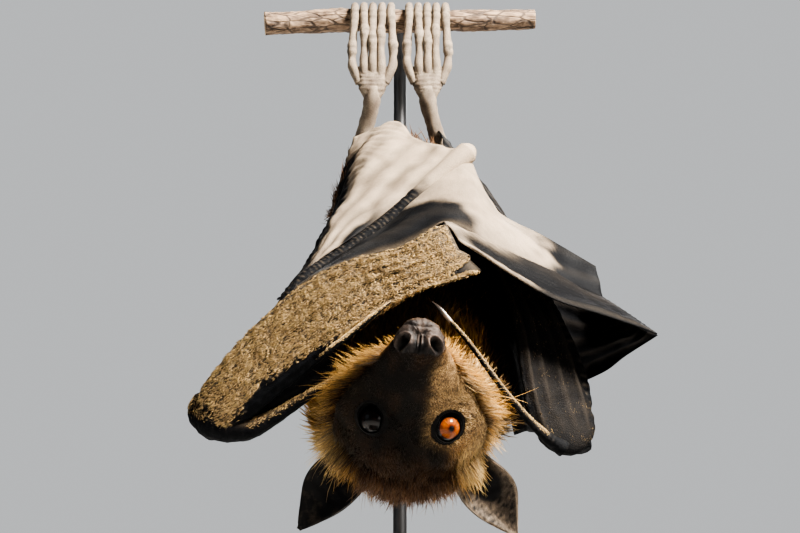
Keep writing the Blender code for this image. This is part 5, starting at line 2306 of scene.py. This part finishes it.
def down_masks(tan: float, brown: float) -> Callable[[Array], dict[str, Array]]:
    """Choose one mix of colours for the wings' down.

    Args:
        tan: How tan it is.
        brown: How brown it is.

    Returns:
        A function from places to masks.
    """

    def masks(points: Array) -> dict[str, Array]:
        """Mix the colours, with slow patches.

        Args:
            points: The tufts' roots.

        Returns:
            A mask for each colour.
        """
        patchy = 0.12 * grain(points, 6.0, 77)
        buff, much = (np.clip(share * tan + patchy, 0, 1) for share in (0.55, 1.0))
        return {"gold": 0 * patchy, "buff": buff, "tan": much, "brown": brown + 0 * patchy}

    return masks


def band_density(points: Array) -> Array:
    """Crowd the outer hand's down on its ridges, away from the bare wrist.

    Args:
        points: The middles of the hand's cells.

    Returns:
        Its density in each cell.
    """
    _, place, _, crest = LEFT_HAND.shape()
    lines = np.clip(crest, 0, 1) + 0.30 * np.sin(30 * place + 3 * np.sin(2 * place))
    cells = (lines[:-1] + lines[1:] + np.roll(lines[:-1], -1, 1) + np.roll(lines[1:], -1, 1)) / 4
    crowd = np.clip(0.48 + 1.1 * cells, 0.12, 2)
    return past_wrist(points) * crowd * (1.0 + 0.25 * grain(points, 2.5, 78))


def thumb_density(points: Array) -> Array:
    """Return the down's density on a thumb, clear of its bare base."""
    base = np.where(points[..., :1] < 0, np.array((-66.0, -28.0, 258.0)), np.array((64.0, -27.0, 251.0)))
    return ease(np.linalg.norm(points - base, axis=-1), 6.0, 9.0)


def knee_density(points: Array) -> Array:
    """Return the density of the hair on thigh and knee, thinning down the shank."""
    return ease(points[..., 2], 424.0, 408.0)


@dataclass(frozen=True)
class FrontPelt(Pelt):
    """Fur that grows only where the skin faces the front."""

    def shown(self, facing: Array) -> Array:
        """Return 1 where the skin faces -Y and 0 behind."""
        return ease(-facing[..., 1], 0.0, 0.35)


@dataclass(frozen=True)
class UpperPelt(Pelt):
    """Down that grows only on a bone's upper front side."""

    def shown(self, facing: Array) -> Array:
        """Return 1 where the skin faces up and forward."""
        return ease(facing[..., 2] - 0.3 * facing[..., 1], 0.0, 0.4)


def head_pelts() -> list[Pelt]:
    """Return the face's short fur and the fringe round it."""
    look = {"slot": Finish.FACE, "grid": HEAD.grids()[1], "lay": -1.0, "vary": 0.42}
    ring = look | {"slot": Finish.MANTLE, "droop": 0.45, "uneven": 0.30}
    return [
        Pelt("face", 30000, face_density, face_length, face_lift, 0.15, 101, fine=True, **look),
        Pelt("fringe", 24000, fringe_density, fringe_length, steady(1.10), 0.155, 111, **ring),
    ]


def body_pelts() -> list[Pelt]:
    """Return the mantle, the back, the thighs and the knees."""
    body = {"slot": Finish.BODY, "grid": BODY.grid()}
    mantle = body | {"slot": Finish.MANTLE, "droop": 0.40}
    found = [
        Pelt("mantle", 11500, mantle_density, steady(10.0), steady(0.50), 0.34, 121, **mantle),
        Pelt("back", 12500, back_density, steady(11.0), steady(0.34), 0.42, 131, droop=0.28, **body),
    ]
    for leg, side, seed in zip(LEGS, ("left", "right"), (191, 211)):
        rest = (steady(0.42), 0.30)
        for name, grid, count, length, own in (
            ("thigh", leg.thigh(), 1100, 7.0, seed), ("knee", leg.shank(), 600, 4.5, seed + 10)
        ):
            look = {"slot": Finish.BODY, "grid": grid, "droop": 0.30}
            found.append(Pelt(f"{name}_{side}", count, knee_density, steady(length), *rest, own, **look))
    return found


def down_pelts() -> list[Pelt]:
    """Return the down on hands, thumbs and the free finger."""
    whole, look = steady(1.0), {"slot": Finish.WING, "fine": True}
    outer = look | {
        "lay": -1.0, "droop": 0.1, "masks": down_masks(0.95, 0.4), "stray": 0.18, "vary": 0.42, "clump": 0.2
    }
    inner = look | {"masks": down_masks(0.06, 0.0), "stray": 0.2, "clump": 0.3}
    bony = look | {"masks": down_masks(0.95, 0.4), "stray": 0.4, "vary": 0.4, "clump": 0.2}
    left, right = LEFT_HAND.shape()[0], RIGHT_HAND.shape()[0]
    lines = (THUMB_LEFT, THUMB_RIGHT, DIGIT_TWO_LEFT)
    thumb, other, digit = (limb_grid(line, 110, 32, FRONT) for line in lines)
    return [
        FrontPelt(
            "hand_down", 29000, band_density, steady(1.7), steady(0.34), 0.105, 141, grid=left, **outer
        ),
        FrontPelt(
            "inner_hand_down", 1500, whole, steady(1.1), steady(0.35), 0.09, 151, grid=right, **inner
        ),
        UpperPelt(
            "thumb_down", 2200, thumb_density, steady(1.2), steady(0.6), 0.10, 161, grid=thumb, **bony
        ),
        UpperPelt(
            "right_thumb_down", 2200, thumb_density, steady(0.9), steady(0.5), 0.10, 171, grid=other, **bony
        ),
        UpperPelt("digit_down", 1200, whole, whole, steady(0.5), 0.10, 181, grid=digit, **bony),
    ]


def build_coat(wardrobe: Wardrobe) -> None:
    """Grow the whole coat, each lot its own piece."""
    for pelt in head_pelts() + body_pelts() + down_pelts():
        for number, (patch, coords) in enumerate(pelt.patches(), 1):
            add_piece(f"{pelt.name}_coat_{number}", [patch], wardrobe.named("fur"), uv=coords)


# ---------------------------------------------------------------- stand, light and camera

PERCH = (0.0, 48.0, 489.0)
ROD_RADIUS = 3.2
BASE_SIZE = (240.0, 220.0, 15.0)


def perch_patch() -> Patch:
    """Return the cut branch: knobbly bark with sawn ends."""
    x, y, z = PERCH
    half = 66.0
    stations = [
        (x - half, y - 2.0, z - 2.5, 5.2), (x - half * 0.55, y + 0.6, z + 0.6, 5.6),
        (x - half * 0.1, y, z, 5.3), (x + half * 0.4, y - 0.5, z - 0.4, 5.2),
        (x + half, y + 1.5, z + 2.2, 4.8),
    ]
    base = limb_grid(stations, 190, 96, (0.0, 0.0, 1.0))
    ridge = 1.0 - np.abs(grain(base * np.array((0.3, 1.0, 1.0)), 7.0, 91)) * 0.9
    rough = 0.035 * ridge + 0.018 * grain(base, 2.6, 92) + 0.05 * grain(base, 19.0, 93)
    knot = 0.16 * mound((base[..., 0], 36.0, 5.0), (base[..., 1], 42.0, 5.0)) * (base[..., 2] < 489)
    grid = swell(base, np.minimum(1.0 + rough + knot, 1.12))
    shares = np.array((0.97, 0.8, 0.55, 0.28))[:, None, None]
    low, high = (end.mean(axis=0) + (end - end.mean(axis=0)) * shares for end in (grid[0], grid[-1]))
    cut = np.pad(np.zeros(len(grid)), len(shares), constant_values=1.0)[:, None]
    return closed_tube(np.concatenate([low[::-1], grid, high]), cut=cut)


def rod_patch() -> Patch:
    """Return the bent steel rod behind the body."""
    line = [
        (84, 15.2), (84, 150), (84, 280), (84, 380), (84, 415), (84, 435), (83, 453), (78.5, 469),
        (70, 480.5), (58.5, 487.5), (50.5, 490.5),
    ]
    return closed_tube(limb_grid([(0, y, z, ROD_RADIUS) for y, z in line], 160, 28))


def base_patch() -> Patch:
    """Return the base plate with rounded corners and edges, as rings from its underside to its top."""
    wide, deep, tall = BASE_SIZE
    corner, edge, around = 9.0, 2.2, 160
    turn = turns(around)
    profile = [(-14.0, 0.0), (-1.2, 0.0), (-0.35, 0.35), (0.0, 1.2)]
    quarter = np.linspace(0, math.pi / 2, 7)
    profile += [(-edge * (1 - math.cos(q)), tall - edge * (1 - math.sin(q))) for q in quarter]
    profile += [(-14.0, tall), (-50.0, tall)]
    rings = []
    for inset, height in profile:
        hx, hy = wide / 2 + inset, deep / 2 + inset
        r = max(corner + inset, 1.0)
        c, s = np.cos(turn), np.sin(turn)
        x = np.clip(c * 1.45, -1, 1) * (hx - r) + r * c
        y = np.clip(s * 1.45, -1, 1) * (hy - r) + r * s
        rings.append(np.stack([x, y, np.full(around, height)], axis=-1))
    return closed_tube(np.stack(rings))


@dataclass(frozen=True)
class Lamp:
    """A square soft light that faces a target; its beam opens to the spread. Lengths are metres."""

    name: str
    place: Triple
    target: Triple
    size: float
    watts: float
    tint: Colour
    spread: float = math.pi

    def hang(self) -> None:
        """Add it to the scene."""
        lamp = bpy.data.lights.new(self.name, "AREA")
        lamp.shape = "SQUARE"
        lamp.size = self.size
        lamp.energy = self.watts
        lamp.color = self.tint
        lamp.spread = self.spread
        made = bpy.data.objects.new(self.name, lamp)
        made.location = self.place
        made.rotation_euler = aim(self.place, self.target)
        bpy.context.scene.collection.objects.link(made)


LAMPS = (
    Lamp("key", (0.62, -0.56, 1.02), (0.01, 0.0, 0.34), 0.34, 15.0, (1.0, 0.95, 0.88), 1.05),
    Lamp("fill", (-0.9, -0.75, 0.45), (0.0, 0.0, 0.33), 0.8, 1.6, (0.88, 0.93, 1.0)),
    Lamp("low", (0.80, -0.62, 0.14), (0.0, -0.05, 0.30), 0.45, 1.5, (1.0, 0.97, 0.94)),
    Lamp("back", (0.1, 0.95, 0.8), (0.0, 0.0, 0.36), 0.8, 12.0, (1.0, 0.98, 0.96)),
)


class Studio:
    """A pale floor, soft lights and the camera."""

    def build(self) -> None:
        """Add them all."""
        self.floor()
        self.world()
        for lamp in LAMPS:
            lamp.hang()
        bpy.context.scene.view_settings.look = "AgX - Medium High Contrast"
        self.camera()

    def floor(self) -> None:
        """Lay a pale disc under the base."""
        turn = turns(96)
        ring = np.stack([np.cos(turn), np.sin(turn), np.zeros(96)], axis=-1)
        grid = np.stack([ring * r for r in (300.0, 1200.0, 3000.0)])
        grid[..., 2] = -0.3
        bottom = grid[::-1] - np.array((0, 0, 4.0))
        mesh = build_mesh("floor", [closed_tube(np.concatenate([grid, bottom]))])
        mesh.materials.append(FloorFinish("floor_paper", colour=(0.74, 0.735, 0.72), roughness=0.9).make())
        floor = bpy.data.objects.new("floor", mesh)
        bpy.context.scene.collection.objects.link(floor)

    def world(self) -> None:
        """Give the scene a plain pale surround that lights the model only a little."""
        world = bpy.data.worlds.new("surround")
        world.use_nodes = True
        book, shade = NodeBook(world.node_tree), world.node_tree.nodes["Background"]
        seen = book.add("ShaderNodeLightPath").outputs["Is Camera Ray"]
        level = book.add("ShaderNodeMapRange", {"Value": seen, "To Min": 0.15, "To Max": 0.62})
        book.feed(shade.inputs["Color"], SURROUND)
        book.feed(shade.inputs["Strength"], level.outputs["Result"])
        bpy.context.scene.world = world

    def camera(self) -> None:
        """Look up at the face from in front, as a visitor would from below."""
        lens = bpy.data.cameras.new("camera")
        lens.lens = 82.8
        lens.sensor_width = 36.0
        lens.clip_start = 0.02
        made = bpy.data.objects.new("camera", lens)
        made.location = (0.0, -0.742, 0.040)
        made.rotation_euler = aim(made.location, (0.0, 0.0, 0.340))
        bpy.context.scene.collection.objects.link(made)
        bpy.context.scene.camera = made


def aim(place: Sequence[float], target: Sequence[float]) -> Triple:
    """Point an object's -Z from a place to a target, with its top upwards.

    Args:
        place: Where the object is.
        target: What it faces.

    Returns:
        Its turn, as angles about x, y and z.
    """
    x, y, z = (t - p for t, p in zip(target, place))
    flat = math.hypot(x, y)
    return math.pi / 2 + math.atan2(z, flat), 0.0, math.atan2(-x, y)


# ---------------------------------------------------------------- the model

SIDES = ("left", "right")
WINGS = {
    "left": (
        "arm_membrane", "elbow_fold", "fingers", "forearm", "hand", "propatagium", "thumb", "thumb_web",
        "tip", "upper_arm",
    ),
    "right": ("arm_membrane", "forearm", "hand", "inner_membrane", "propatagium", "thumb", "upper_arm"),
}
# The CAD nodes that the skin stands for.
FLESH = (
    "head", "muzzle", "nose", "neck", "trunk",
    *(f"{part}_{side}" for part in ("ear", "thigh", "shank", "foot") for side in SIDES),
    *(f"wing_{side}_{part}" for side, parts in WINGS.items() for part in parts),
)


def build_skin(wardrobe: Wardrobe) -> None:
    """Make the one skin that stands for all the flesh.

    Args:
        wardrobe: Holds its materials.
    """
    patches = HEAD.patches() + [BODY.patch()] + [ear.patch() for ear in EARS]
    patches += sum((leg.patches() for leg in LEGS), []) + wing_patches()
    materials = wardrobe.named("face_skin", "wing_skin", "nose_skin", "ear_skin", "lid_skin", "foot_skin")
    add_piece("skin", patches, materials, FLESH)


def build_hard_parts(wardrobe: Wardrobe) -> None:
    """Make eyes, claws, perch, rod and base.

    Args:
        wardrobe: Holds their materials.
    """
    claws = [leg.claw(k) for leg in LEGS for k in range(5)]
    claws.append(thumb_claw((-28.4, -40.3, 273.6), (-25.0, -41.7, 275.7), (-21.6, -41.3, 278.2)))
    claws.append(thumb_claw((20.6, -50.4, 295.4), (16.2, -51.0, 300.9), (12.6, -49.6, 305.0)))
    left, right = (eye.ball() for eye in HEAD.eyes)
    for name, patches, material, slot, replaces in (
        ("eye_left_ball", [left], "eye", Finish.EYE, ["eye_left"]),
        ("eye_right_ball", [right], "eye", Finish.EYE, ["eye_right"]),
        ("claws", claws, "claw_horn", Finish.CLAW, []),
        ("branch", [perch_patch()], "bark", Finish.BARK, ["perch"]),
        ("rod", [rod_patch()], "stand_rod_paint", Finish.ROD, ["stand_rod"]),
        ("base_plate", [base_patch()], "stand_base_paint", Finish.BASE, ["stand_base"]),
    ):
        add_piece(name, patches, wardrobe.named(material), replaces)


HEAD = Head()
BODY = Body()


def main() -> None:
    """Build the whole scene."""
    logging.basicConfig(level=logging.INFO)
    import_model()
    wardrobe = Wardrobe()
    build_skin(wardrobe)
    build_hard_parts(wardrobe)
    build_coat(wardrobe)
    Studio().build()


if __name__ == "__main__":
    main()
